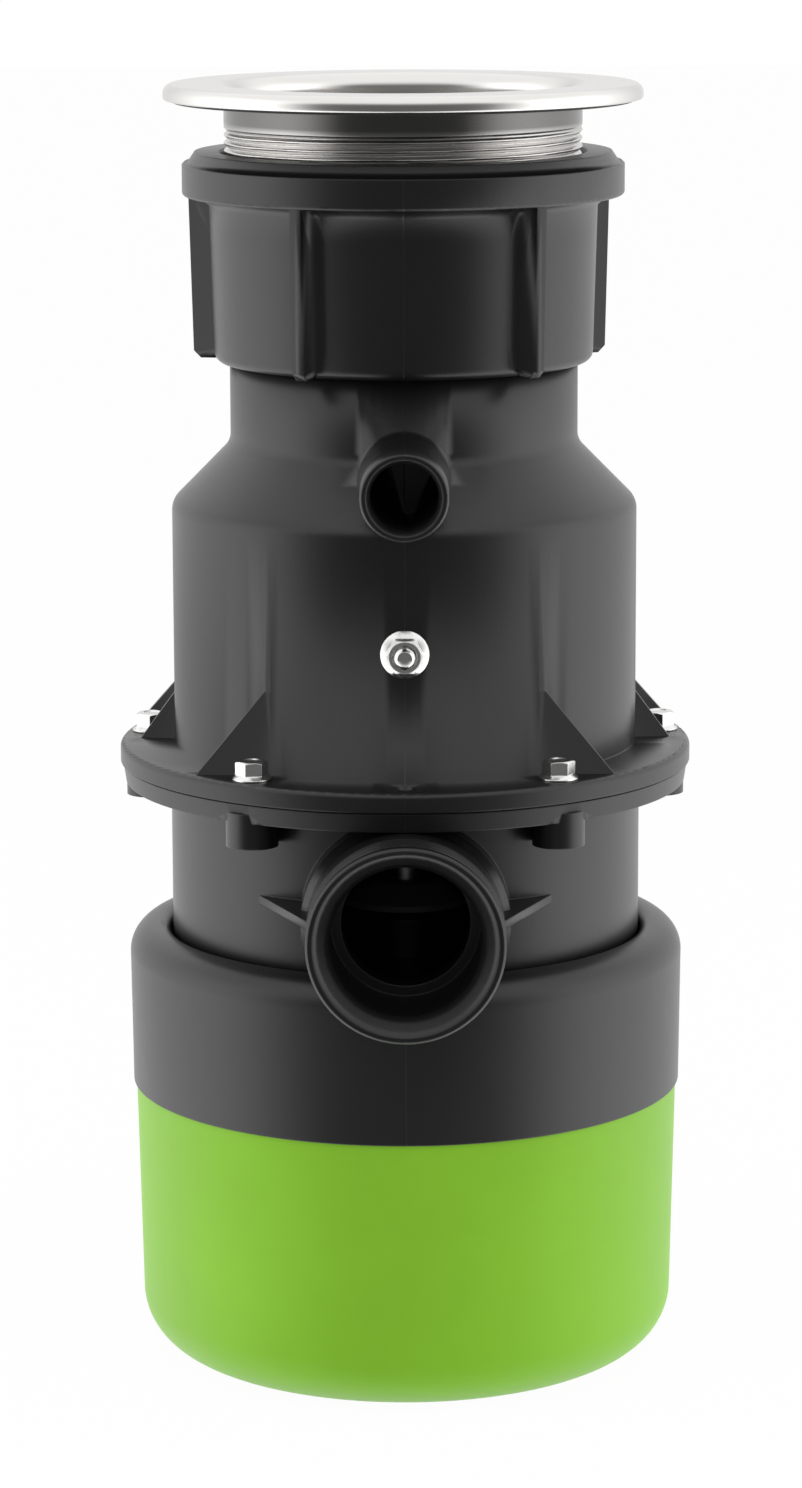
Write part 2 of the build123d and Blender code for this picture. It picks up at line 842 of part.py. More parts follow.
# Flat gasket between the two housings
with BuildPart() as housing_gasket:
    extrude(disc(parting, lower_flange_radius - gasket_inset, drain_bore), amount=gasket_thickness)
    with BuildSketch(Plane.XY.offset(parting)):
        with Locations(*[around(bolt_circle, azimuth) for azimuth in bolt_azimuths]):
            Circle(bolt_radius + bolt_hole_gap)
    extrude(amount=gasket_thickness, mode=Mode.SUBTRACT)
housing_gasket.part.label = "housing_gasket"
export_step(housing_gasket.part, "parts/housing_gasket.step")

# Flange bolts and the brass inserts that they screw into
bolt_spots = [around(bolt_circle, azimuth) for azimuth in bolt_azimuths]
with BuildPart() as flange_bolts:
    with BuildSketch(Plane.XY.offset(flange_top)):
        with Locations(*bolt_spots):
            Circle(bolt_flange_radius)
    extrude(amount=bolt_flange_height, taper=skirt_taper)
    with BuildSketch(Plane.XY.offset(flange_top)):
        with Locations(*bolt_spots):
            RegularPolygon(bolt_head_flats / 2, 6, major_radius=False)
    extrude(amount=bolt_flange_height + bolt_head_height)
    with BuildSketch(Plane.XY.offset(flange_top + bolt_flange_height + bolt_head_height)):
        with Locations(*bolt_spots):
            Circle(bolt_dish_radius)
    extrude(amount=-bolt_head_dish, taper=dish_taper, mode=Mode.SUBTRACT)
    with BuildSketch(Plane.XY.offset(flange_top)):
        with Locations(*bolt_spots):
            Circle(bolt_radius)
    extrude(amount=-bolt_length)
flange_bolts.part.label = "flange_bolts"
export_step(flange_bolts.part, "parts/flange_bolts.step")

with BuildPart() as bolt_inserts:
    with BuildSketch(Plane.XY.offset(parting)):
        with Locations(*bolt_spots):
            Circle(insert_radius)
            Circle(bolt_radius + bearing_gap, mode=Mode.SUBTRACT)
    extrude(amount=-insert_length)
bolt_inserts.part.label = "bolt_inserts"
export_step(bolt_inserts.part, "parts/bolt_inserts.step")

# Shredder ring: slots round its foot, ribs inside, three studs through the wall
with BuildPart() as shredder_ring:
    extrude(disc(ring_foot, ring_radius, ring_bore), amount=ring_height)
    for rib in range(ring_ribs):
        with BuildSketch(facing((rib + 0.5) * 360 / ring_ribs)):
            with BuildLine():
                Polyline(
                    (ring_bore - ring_rib_depth, ring_foot + ring_tooth_height),
                    (ring_bore + ring_wall / 2, ring_foot + ring_tooth_height),
                    (ring_bore + ring_wall / 2, ring_foot + ring_height),
                    (ring_bore - ring_rib_depth / 2, ring_foot + ring_height),
                    close=True,
                )
            make_face()
        extrude(amount=ring_rib_width / 2, both=True)
    for tooth in range(ring_teeth):
        with BuildSketch(outward((tooth + 0.5) * 360 / ring_teeth, ring_bore - run_over, ring_foot)):
            with Locations((0, ring_tooth_height / 2 - run_over)):
                Rectangle(ring_tooth_gap, ring_tooth_height)
        extrude(amount=ring_wall + 2 * run_over, mode=Mode.SUBTRACT)
    for stud in range(stud_count):
        with BuildSketch(outward(stud * 360 / stud_count, ring_bore - run_over, stud_height)):
            Circle(stud_radius)
        extrude(amount=ring_wall + 2 * run_over, mode=Mode.SUBTRACT)
shredder_ring.part.label = "shredder_ring"
export_step(shredder_ring.part, "parts/shredder_ring.step")

stud_reach = body_radius + fit_gap + stud_nut_flange_height + stud_nut_height
with BuildPart() as ring_studs:
    for stud in range(stud_count):
        with BuildSketch(outward(stud * 360 / stud_count, ring_bore, stud_height)):
            Circle(stud_radius)
        extrude(amount=stud_reach - ring_bore + stud_end)
ring_studs.part.label = "ring_studs"
export_step(ring_studs.part, "parts/ring_studs.step")

with BuildPart() as stud_nuts:
    for stud in range(stud_count):
        azimuth = stud * 360 / stud_count
        with BuildSketch(outward(azimuth, body_radius + bearing_gap, stud_height)):
            Circle(stud_nut_flange)
        extrude(amount=stud_nut_flange_height, taper=skirt_taper)
        with BuildSketch(outward(azimuth, body_radius + bearing_gap, stud_height)):
            RegularPolygon(stud_nut_flats / 2, 6, major_radius=False, rotation=stud_nut_turn)
        extrude(amount=stud_nut_flange_height + stud_nut_height)
        with BuildSketch(outward(azimuth, body_radius - run_over, stud_height)):
            Circle(stud_radius + bearing_gap)
        extrude(
            amount=stud_nut_flange_height + stud_nut_height + 2 * run_over,
            mode=Mode.SUBTRACT,
        )
stud_nuts.part.label = "stud_nuts"
export_step(stud_nuts.part, "parts/stud_nuts.step")

# Turning disc with holes for the water
with BuildPart() as grind_disc:
    extrude(disc(disc_foot, disc_radius), amount=disc_thickness)
    extrude(disc(disc_foot - disc_hub_height, disc_hub_radius), amount=disc_hub_height)
    fillet(ring_edges(grind_disc.part, disc_hub_radius, disc_foot), disc_hub_rounding)
    with BuildSketch(Plane.XY.offset(disc_foot)):
        with PolarLocations(disc_hole_circle, disc_holes, disc_hole_turn):
            Circle(disc_hole_radius)
    extrude(amount=disc_thickness, mode=Mode.SUBTRACT)
    with BuildSketch(Plane.XY.offset(disc_foot)):
        with PolarLocations(impeller_circle, 2):
            Circle(impeller_pin_radius)
    extrude(amount=disc_thickness, mode=Mode.SUBTRACT)
    extrude(
        disc(disc_foot - disc_hub_height, shaft_top_radius),
        amount=disc_hub_height + disc_thickness,
        mode=Mode.SUBTRACT,
    )
grind_disc.part.label = "grind_disc"
export_step(grind_disc.part, "parts/grind_disc.step")


def impeller_outline(side):
    """Impeller seen from above: round eye and long hammer nose."""
    impeller_nose = impeller_width / 2 - impeller_nose_taper
    with BuildSketch(Plane.XY.offset(disc_top + fit_gap)) as outline:
        with Locations((side * impeller_circle, 0)):
            Circle(impeller_eye)
        with BuildLine():
            Polyline(
                (side * impeller_circle - impeller_width / 2, 0),
                (side * impeller_circle - impeller_nose, side * impeller_length),
                (side * impeller_circle + impeller_nose, side * impeller_length),
                (side * impeller_circle + impeller_width / 2, 0),
                close=True,
            )
        make_face()
        with Locations((side * impeller_circle, 0)):
            Circle(impeller_pin_radius + bearing_gap, mode=Mode.SUBTRACT)
    return outline.sketch


with BuildPart() as impeller_left:
    extrude(impeller_outline(-1), amount=impeller_height)
impeller_left.part.label = "impeller_left"
export_step(impeller_left.part, "parts/impeller_left.step")

with BuildPart() as impeller_right:
    extrude(impeller_outline(1), amount=impeller_height)
impeller_right.part.label = "impeller_right"
export_step(impeller_right.part, "parts/impeller_right.step")

# Rivets that the impellers swing on
rivet_top = disc_top + impeller_height + 2 * fit_gap
with BuildPart() as impeller_rivets:
    with BuildSketch(Plane.XY.offset(disc_foot - pin_head_height)):
        with PolarLocations(impeller_circle, 2):
            Circle(pin_head_radius)
    extrude(amount=pin_head_height)
    with BuildSketch(Plane.XY.offset(disc_foot)):
        with PolarLocations(impeller_circle, 2):
            Circle(impeller_pin_radius)
    extrude(amount=rivet_top - disc_foot)
    with BuildSketch(Plane.XY.offset(rivet_top)):
        with PolarLocations(impeller_circle, 2):
            Circle(pin_head_radius)
    extrude(amount=pin_head_height)
impeller_rivets.part.label = "impeller_rivets"
export_step(impeller_rivets.part, "parts/impeller_rivets.step")

# Shaft from the lower bearing up through the disc
shaft_shoulder = disc_foot - disc_hub_height
washer_foot = disc_top
nut_seat = washer_foot + disc_washer_height
with BuildPart() as motor_shaft:
    revolve(
        turned(
            (0, lower_bearing_foot),
            (shaft_foot_radius, lower_bearing_foot),
            (shaft_foot_radius, can_foot + shaft_step),
            (shaft_radius, can_foot + shaft_step),
            (shaft_radius, shaft_shoulder),
            (shaft_top_radius, shaft_shoulder),
            (shaft_top_radius, nut_seat + disc_nut_height + shaft_end),
            (0, nut_seat + disc_nut_height + shaft_end),
        ),
        axis=Axis.Z,
    )
motor_shaft.part.label = "motor_shaft"
export_step(motor_shaft.part, "parts/motor_shaft.step")

with BuildPart() as disc_washer:
    extrude(disc(washer_foot, disc_washer_radius, shaft_top_radius), amount=disc_washer_height)
disc_washer.part.label = "disc_washer"
export_step(disc_washer.part, "parts/disc_washer.step")

with BuildPart() as disc_nut:
    with BuildSketch(Plane.XY.offset(nut_seat)):
        RegularPolygon(disc_nut_flats / 2, 6, major_radius=False)
        Circle(shaft_top_radius, mode=Mode.SUBTRACT)
    extrude(amount=disc_nut_height)
disc_nut.part.label = "disc_nut"
export_step(disc_nut.part, "parts/disc_nut.step")

# Rubber lip seal in the floor's boss, and the cap on the shaft that shields it
with BuildPart() as shaft_seal:
    revolve(
        turned(
            (shaft_radius + bearing_gap, seal_foot + seal_lip_lift),
            (shaft_radius + seal_groove, seal_foot + seal_lip_root),
            (shaft_radius + seal_groove, seal_foot + seal_shelf),
            (shaft_radius + seal_mouth_gap, seal_foot + seal_shelf),
            (shaft_radius + seal_mouth_gap, seal_foot),
            (seal_radius, seal_foot),
            (seal_radius, seal_foot + seal_height),
            (shaft_radius + seal_dish, seal_foot + seal_height),
        ),
        axis=Axis.Z,
    )
shaft_seal.part.label = "shaft_seal"
export_step(shaft_seal.part, "parts/shaft_seal.step")

slinger_foot = drain_floor + seal_boss_height + slinger_lift
with BuildPart() as water_slinger:
    revolve(
        turned(
            (shaft_radius, slinger_foot),
            (slinger_radius, slinger_foot),
            (slinger_radius, slinger_foot + slinger_rim),
            (shaft_radius + slinger_sleeve, slinger_foot + slinger_height),
            (shaft_radius, slinger_foot + slinger_height),
        ),
        axis=Axis.Z,
    )
water_slinger.part.label = "water_slinger"
export_step(water_slinger.part, "parts/water_slinger.step")


def race(near, far, foot, width, ball_circle, ball_radius):
    """Half section of one ring of a ball bearing, with its groove for the balls."""
    with BuildSketch(Plane.XZ) as half:
        with BuildLine():
            Polyline((near, foot), (far, foot), (far, foot + width), (near, foot + width), close=True)
        make_face()
        with Locations((ball_circle, foot + width / 2)):
            Circle(ball_radius + bearing_gap, mode=Mode.SUBTRACT)
    return half.sketch


def ball_azimuths(count):
    """Azimuths of a bearing's balls."""
    return [90 + (turn + 0.5) * 360 / count for turn in range(count)]


# Upper bearing in the motor's top plate
upper_race = (upper_bearing_foot, upper_bearing_width, upper_ball_circle, upper_ball_radius)
upper_race_gap = upper_ball_radius * race_share
with BuildPart() as upper_bearing_outer:
    revolve(race(upper_ball_circle + upper_race_gap, upper_bearing_radius, *upper_race), axis=Axis.Z)
upper_bearing_outer.part.label = "upper_bearing_outer"
export_step(upper_bearing_outer.part, "parts/upper_bearing_outer.step")

with BuildPart() as upper_bearing_inner:
    revolve(race(shaft_radius, upper_ball_circle - upper_race_gap, *upper_race), axis=Axis.Z)
upper_bearing_inner.part.label = "upper_bearing_inner"
export_step(upper_bearing_inner.part, "parts/upper_bearing_inner.step")

# Its balls, and the cage that spaces them
upper_ball_height = upper_bearing_foot + upper_bearing_width / 2
upper_ball_azimuths = ball_azimuths(upper_ball_count)
upper_cage = upper_ball_radius * cage_share
with BuildPart() as upper_bearing_balls:
    extrude(
        disc(upper_ball_height, upper_ball_circle + upper_cage, upper_ball_circle - upper_cage),
        amount=upper_ball_radius + cage_lip,
        both=True,
    )
    for azimuth in upper_ball_azimuths:
        with BuildSketch(outward(azimuth, upper_ball_circle, upper_ball_height)):
            Circle(upper_ball_radius + bearing_gap)
        extrude(amount=upper_ball_radius, both=True, mode=Mode.SUBTRACT)
    for azimuth in upper_ball_azimuths:
        with Locations(around(upper_ball_circle, azimuth) + (upper_ball_height,)):
            Sphere(upper_ball_radius)
upper_bearing_balls.part.label = "upper_bearing_balls"
export_step(upper_bearing_balls.part, "parts/upper_bearing_balls.step")

# Lower bearing in the bell
lower_race = (lower_bearing_foot, lower_bearing_width, lower_ball_circle, lower_ball_radius)
lower_race_gap = lower_ball_radius * race_share
with BuildPart() as lower_bearing_outer:
    revolve(race(lower_ball_circle + lower_race_gap, lower_bearing_radius, *lower_race), axis=Axis.Z)
lower_bearing_outer.part.label = "lower_bearing_outer"
export_step(lower_bearing_outer.part, "parts/lower_bearing_outer.step")

with BuildPart() as lower_bearing_inner:
    revolve(race(shaft_foot_radius, lower_ball_circle - lower_race_gap, *lower_race), axis=Axis.Z)
lower_bearing_inner.part.label = "lower_bearing_inner"
export_step(lower_bearing_inner.part, "parts/lower_bearing_inner.step")

lower_ball_height = lower_bearing_foot + lower_bearing_width / 2
lower_ball_azimuths = ball_azimuths(lower_ball_count)
lower_cage = lower_ball_radius * cage_share
with BuildPart() as lower_bearing_balls:
    extrude(
        disc(lower_ball_height, lower_ball_circle + lower_cage, lower_ball_circle - lower_cage),
        amount=lower_ball_radius + cage_lip,
        both=True,
    )
    for azimuth in lower_ball_azimuths:
        with BuildSketch(outward(azimuth, lower_ball_circle, lower_ball_height)):
            Circle(lower_ball_radius + bearing_gap)
        extrude(amount=lower_ball_radius, both=True, mode=Mode.SUBTRACT)
    for azimuth in lower_ball_azimuths:
        with Locations(around(lower_ball_circle, azimuth) + (lower_ball_height,)):
            Sphere(lower_ball_radius)
lower_bearing_balls.part.label = "lower_bearing_balls"
export_step(lower_bearing_balls.part, "parts/lower_bearing_balls.step")

# Cast top plate of the motor, with ears that the cover screws into
ear_top = plate_foot + ear_height
ear_room = min(cover_outside(plate_foot), cover_outside(ear_top)) - cover_wall - fit_gap
ear_reach = sqrt(ear_room**2 - (ear_width / 2) ** 2)
cover_screw_height = cover_top - cover_screw_drop
with BuildPart() as motor_plate:
    extrude(disc(plate_foot, plate_radius), amount=plate_thickness)
    for side in (-1, 1):
        with BuildSketch(Plane.XY.offset(plate_foot)):
            with Locations((side * (plate_radius - ear_root + ear_reach) / 2, 0)):
                Rectangle(ear_reach - plate_radius + ear_root, ear_width)
        extrude(amount=ear_height)
    extrude(disc(plate_top, plate_radius), amount=ear_height, mode=Mode.SUBTRACT)
    extrude(
        disc(upper_bearing_foot, upper_bearing_radius),
        amount=upper_bearing_width,
        mode=Mode.SUBTRACT,
    )
    extrude(disc(plate_foot, upper_ball_circle), amount=plate_thickness, mode=Mode.SUBTRACT)
    with BuildSketch(Plane.XY.offset(plate_foot)):
        with PolarLocations(pillar_circle, pillar_count, pillar_turn):
            Circle(mount_screw_radius + bolt_hole_gap)
    extrude(amount=plate_thickness, mode=Mode.SUBTRACT)
    with BuildSketch(Plane.XY.offset(plate_foot)):
        with Locations(*[around(tie_bolt_circle, azimuth) for azimuth in side_azimuths]):
            Circle(tie_bolt_radius)
    extrude(amount=plate_thickness - tie_bolt_room, mode=Mode.SUBTRACT)
    for azimuth in side_azimuths:
        with BuildSketch(outward(azimuth, ear_reach, cover_screw_height)):
            Circle(cover_screw_radius)
        extrude(amount=-(ear_reach - plate_radius), mode=Mode.SUBTRACT)
motor_plate.part.label = "motor_plate"
export_step(motor_plate.part, "parts/motor_plate.step")

mount_screw_length = plate_thickness + pillar_height
with BuildPart() as mount_screws:
    with BuildSketch(Plane.XY.offset(plate_foot)):
        with PolarLocations(pillar_circle, pillar_count, pillar_turn):
            Circle(mount_screw_head)
    extrude(amount=-mount_screw_head_height)
    with BuildSketch(Plane.XY.offset(plate_foot)):
        with PolarLocations(pillar_circle, pillar_count, pillar_turn):
            Circle(mount_screw_radius)
    extrude(amount=mount_screw_length)
    with BuildSketch(Plane.XY.offset(plate_foot - mount_screw_head_height)):
        with PolarLocations(pillar_circle, pillar_count, pillar_turn):
            RegularPolygon(socket_radius, 6, major_radius=False)
    extrude(amount=socket_depth, mode=Mode.SUBTRACT)
mount_screws.part.label = "mount_screws"
export_step(mount_screws.part, "parts/mount_screws.step")

# Steel can with two magnets
with BuildPart() as motor_can:
    extrude(disc(can_foot, can_radius, can_bore), amount=can_length)
motor_can.part.label = "motor_can"
export_step(motor_can.part, "parts/motor_can.step")

magnet_foot = core_foot - magnet_overhang
magnet_length = core_length + 2 * magnet_overhang
magnet_half = magnet_span / 2
with BuildPart() as magnets:
    for azimuth in front_and_back:
        with BuildSketch(Plane.XY.offset(magnet_foot)):
            with BuildLine():
                outer_face = [around(can_bore, azimuth + turn) for turn in (-magnet_half, 0, magnet_half)]
                inner_face = [around(magnet_bore, azimuth + turn) for turn in (-magnet_half, 0, magnet_half)]
                ThreePointArc(*outer_face)
                ThreePointArc(*inner_face)
                Line(outer_face[0], inner_face[0])
                Line(outer_face[2], inner_face[2])
            make_face()
        extrude(amount=magnet_length)
magnets.part.label = "magnets"
export_step(magnets.part, "parts/magnets.step")

# Armature: slotted core, windings in its slots and round its ends, commutator
slot_floor = core_radius - core_slot_depth
slot_width = pi * (slot_floor + core_slot_depth / 2) / core_slots
slot_length = core_slot_depth - core_tip
slot_middle = slot_floor + slot_length / 2
with BuildPart() as armature_core:
    extrude(disc(core_foot, core_radius, shaft_radius), amount=core_length)
    with BuildSketch(Plane.XY.offset(core_foot)):
        with PolarLocations(slot_middle, core_slots):
            Rectangle(slot_length, slot_width)
        with PolarLocations(core_radius - core_tip / 2, core_slots):
            Rectangle(core_tip + 2 * run_over, core_tooth_gap)
    extrude(amount=core_length, mode=Mode.SUBTRACT)
armature_core.part.label = "armature_core"
export_step(armature_core.part, "parts/armature_core.step")

winding_outer = core_radius - core_tip - winding_liner
with BuildPart() as armature_windings:
    for end in (core_foot - winding_reach, core_top):
        extrude(disc(end, winding_outer, winding_inner), amount=winding_reach)
    fillet(ring_edges(armature_windings.part, winding_outer, core_foot - winding_reach), winding_rounding)
    fillet(ring_edges(armature_windings.part, winding_outer, core_top + winding_reach), winding_rounding)
    with BuildSketch(Plane.XY.offset(core_foot)):
        with PolarLocations(slot_middle, core_slots):
            Rectangle(slot_length - 2 * winding_liner, slot_width - 2 * winding_liner)
    extrude(amount=core_length)
armature_windings.part.label = "armature_windings"
export_step(armature_windings.part, "parts/armature_windings.step")

with BuildPart() as commutator:
    riser_foot = commutator_top - commutator_riser_height
    extrude(disc(commutator_foot, commutator_radius, shaft_radius), amount=riser_foot - commutator_foot)
    extrude(
        disc(riser_foot, commutator_radius + commutator_riser, shaft_radius),
        amount=commutator_riser_height,
    )
    with BuildSketch(Plane.XY.offset(commutator_foot)):
        with PolarLocations(commutator_radius, commutator_bars):
            Rectangle(2 * bar_gap_depth, bar_gap_width)
    extrude(amount=riser_foot - commutator_foot, mode=Mode.SUBTRACT)
commutator.part.label = "commutator"
export_step(commutator.part, "parts/commutator.step")

# Bell that closes the can's foot: bearing seat, and legs down to the cup's floor
leg_azimuths = [turn * 360 / bell_legs for turn in range(bell_legs)]
with BuildPart() as motor_bell:
    extrude(disc(bell_foot, can_radius), amount=bell_thickness)
    with BuildSketch(Plane.XY.offset(cup_floor)):
        with Locations(*[around(bell_leg_circle, azimuth) for azimuth in leg_azimuths]):
            Circle(bell_leg_radius)
    extrude(amount=bell_foot - cup_floor + run_over)
    extrude(
        disc(lower_bearing_foot, lower_bearing_radius),
        amount=lower_bearing_width,
        mode=Mode.SUBTRACT,
    )
    extrude(disc(bell_foot, lower_ball_circle), amount=bell_thickness, mode=Mode.SUBTRACT)
    with BuildSketch(Plane.XY.offset(bell_foot)):
        with Locations(*[around(tie_bolt_circle, azimuth) for azimuth in side_azimuths]):
            Circle(tie_bolt_radius + bolt_hole_gap)
    extrude(amount=bell_thickness, mode=Mode.SUBTRACT)
    with BuildSketch(Plane.XY.offset(cup_floor)):
        with Locations(*[around(bell_leg_circle, azimuth) for azimuth in leg_azimuths]):
            Circle(base_screw_radius)
    extrude(amount=base_screw_length, mode=Mode.SUBTRACT)
motor_bell.part.label = "motor_bell"
export_step(motor_bell.part, "parts/motor_bell.step")

# Two long bolts that hold bell, can and plate together
tie_length = bell_thickness + can_length + plate_thickness - 2 * tie_bolt_room
with BuildPart() as tie_bolts:
    with BuildSketch(Plane.XY.offset(bell_foot)):
        with Locations(*[around(tie_bolt_circle, azimuth) for azimuth in side_azimuths]):
            Circle(tie_bolt_head)
    extrude(amount=-tie_bolt_head_height)
    with BuildSketch(Plane.XY.offset(bell_foot)):
        with Locations(*[around(tie_bolt_circle, azimuth) for azimuth in side_azimuths]):
            Circle(tie_bolt_radius)
    extrude(amount=tie_length)
tie_bolts.part.label = "tie_bolts"
export_step(tie_bolts.part, "parts/tie_bolts.step")

# Brush gear: a card on the bell, two brass boxes, two carbon brushes with springs
brush_foot = can_foot + brush_card_thickness + brush_box_wall
brush_mid = brush_foot + brush_height / 2
brush_start = commutator_radius + bearing_gap
box_start = brush_start + brush_stand_out
brush_box_length = can_bore - box_start - brush_box_room
with BuildPart() as brush_card:
    extrude(
        disc(can_foot, can_bore - fit_gap, lower_bearing_radius + card_hole_gap),
        amount=brush_card_thickness,
    )
    with BuildSketch(Plane.XY.offset(can_foot)):
        with Locations(*[around(tie_bolt_circle, azimuth) for azimuth in side_azimuths]):
            Circle(tie_bolt_radius + bolt_hole_gap)
    extrude(amount=brush_card_thickness, mode=Mode.SUBTRACT)
brush_card.part.label = "brush_card"
export_step(brush_card.part, "parts/brush_card.step")

with BuildPart() as brush_boxes:
    for azimuth in front_and_back:
        with BuildSketch(outward(azimuth, box_start, brush_mid)):
            Rectangle(brush_width + 2 * brush_box_wall, brush_height + 2 * brush_box_wall)
        extrude(amount=brush_box_length)
        with BuildSketch(outward(azimuth, box_start, brush_mid)):
            Rectangle(brush_width + 2 * bearing_gap, brush_height + 2 * bearing_gap)
        extrude(amount=brush_box_length - brush_box_wall, mode=Mode.SUBTRACT)
brush_boxes.part.label = "brush_boxes"
export_step(brush_boxes.part, "parts/brush_boxes.step")

with BuildPart() as carbon_brushes:
    for azimuth in front_and_back:
        with BuildSketch(outward(azimuth, brush_start, brush_mid)):
            Rectangle(brush_width, brush_height)
        extrude(amount=brush_length)
    extrude(
        disc(brush_foot, commutator_radius + bearing_gap),
        amount=brush_height,
        mode=Mode.SUBTRACT,
    )
carbon_brushes.part.label = "carbon_brushes"
export_step(carbon_brushes.part, "parts/carbon_brushes.step")

brush_spring_start = brush_start + brush_length
brush_spring_room = box_start + brush_box_length - brush_box_wall - brush_spring_start
with BuildPart() as brush_springs:
    for azimuth in front_and_back:
        spring_face = outward(azimuth, brush_spring_start + brush_spring_wire, brush_mid)
        coil = spring_face.location * Helix(
            pitch=(brush_spring_room - 2 * brush_spring_wire) / brush_spring_turns,
            height=brush_spring_room - 2 * brush_spring_wire,
            radius=brush_spring_radius,
        )
        with BuildSketch(Plane(origin=coil @ 0, z_dir=coil % 0)):
            Circle(brush_spring_wire)
        sweep(path=coil, is_frenet=True)
brush_springs.part.label = "brush_springs"
export_step(brush_springs.part, "parts/brush_springs.step")

# Motor cover: rounded shoulder, saddle for the drain pipe, two side screws
cover_opening = drain_radius + fit_gap
cover_lip_top = cover_top - cover_lip
crest = cover_opening + cover_lip
shoulder_foot = cover_top - cover_shoulder
shoulder_bend = cover_shoulder * bend_share
lip_bend = cover_lip * bend_share
inside_top = cover_lip_top - cover_wall
inside_shoulder = shoulder_foot - cover_wall
cover_screw_face = cover_outside(cover_screw_height)
cover_screw_seat = cover_screw_face - cover_screw_sink
cover_screw_top = cover_screw_seat + cover_screw_head_height
with BuildPart() as motor_cover:
    with BuildSketch(Plane.XZ) as cover_half:
        with BuildLine():
            Polyline(
                (cover_seam_radius - cover_wall, cup_height),
                (cover_seam_radius, cup_height),
                (cover_radius, shoulder_foot),
            )
            ThreePointArc(
                (cover_radius, shoulder_foot),
                (cover_radius - shoulder_bend, cover_top - shoulder_bend),
                (cover_radius - cover_shoulder, cover_top),
            )
            Line((cover_radius - cover_shoulder, cover_top), (crest, cover_top))
            ThreePointArc(
                (crest, cover_top),
                (cover_opening + lip_bend, cover_top - lip_bend),
                (cover_opening, cover_lip_top),
            )
            Polyline(
                (cover_opening, cover_lip_top),
                (cover_opening, inside_top),
                (cover_radius - cover_shoulder, inside_top),
                (cover_outside(inside_shoulder) - cover_wall, inside_shoulder),
                (cover_seam_radius - cover_wall, cup_height),
            )
        make_face()
    revolve(axis=Axis.Z)
    with BuildSketch(outward(0, 0, pipe_axis)):
        Circle(pipe_collar_radius + fit_gap)
        with Locations((0, pipe_collar_radius)):
            Rectangle(2 * (pipe_collar_radius + fit_gap), 2 * pipe_collar_radius)
    extrude(amount=cover_radius + run_over, mode=Mode.SUBTRACT)
    for azimuth in side_azimuths:
        with BuildSketch(outward(azimuth, ear_reach, cover_screw_height)):
            Circle(cover_screw_radius + bolt_hole_gap)
        extrude(amount=cover_screw_face - ear_reach + run_over, mode=Mode.SUBTRACT)
        with BuildSketch(outward(azimuth, cover_screw_seat, cover_screw_height)):
            Circle(cover_screw_head + fit_gap)
        extrude(amount=cover_screw_sink + run_over, mode=Mode.SUBTRACT)
motor_cover.part.label = "motor_cover"
export_step(motor_cover.part, "parts/motor_cover.step")

with BuildPart() as cover_screws:
    for azimuth in side_azimuths:
        with BuildSketch(outward(azimuth, cover_screw_seat, cover_screw_height)):
            Circle(cover_screw_head)
        extrude(amount=cover_screw_head_height)
        with BuildSketch(outward(azimuth, cover_screw_seat, cover_screw_height)):
            Circle(cover_screw_radius)
        extrude(amount=-cover_screw_length)
        with BuildSketch(outward(azimuth, cover_screw_top, cover_screw_height)):
            Rectangle(driver_cross_length, driver_cross_width)
            Rectangle(driver_cross_width, driver_cross_length)
        extrude(amount=-driver_cross_depth, mode=Mode.SUBTRACT)
cover_screws.part.label = "cover_screws"
export_step(cover_screws.part, "parts/cover_screws.step")

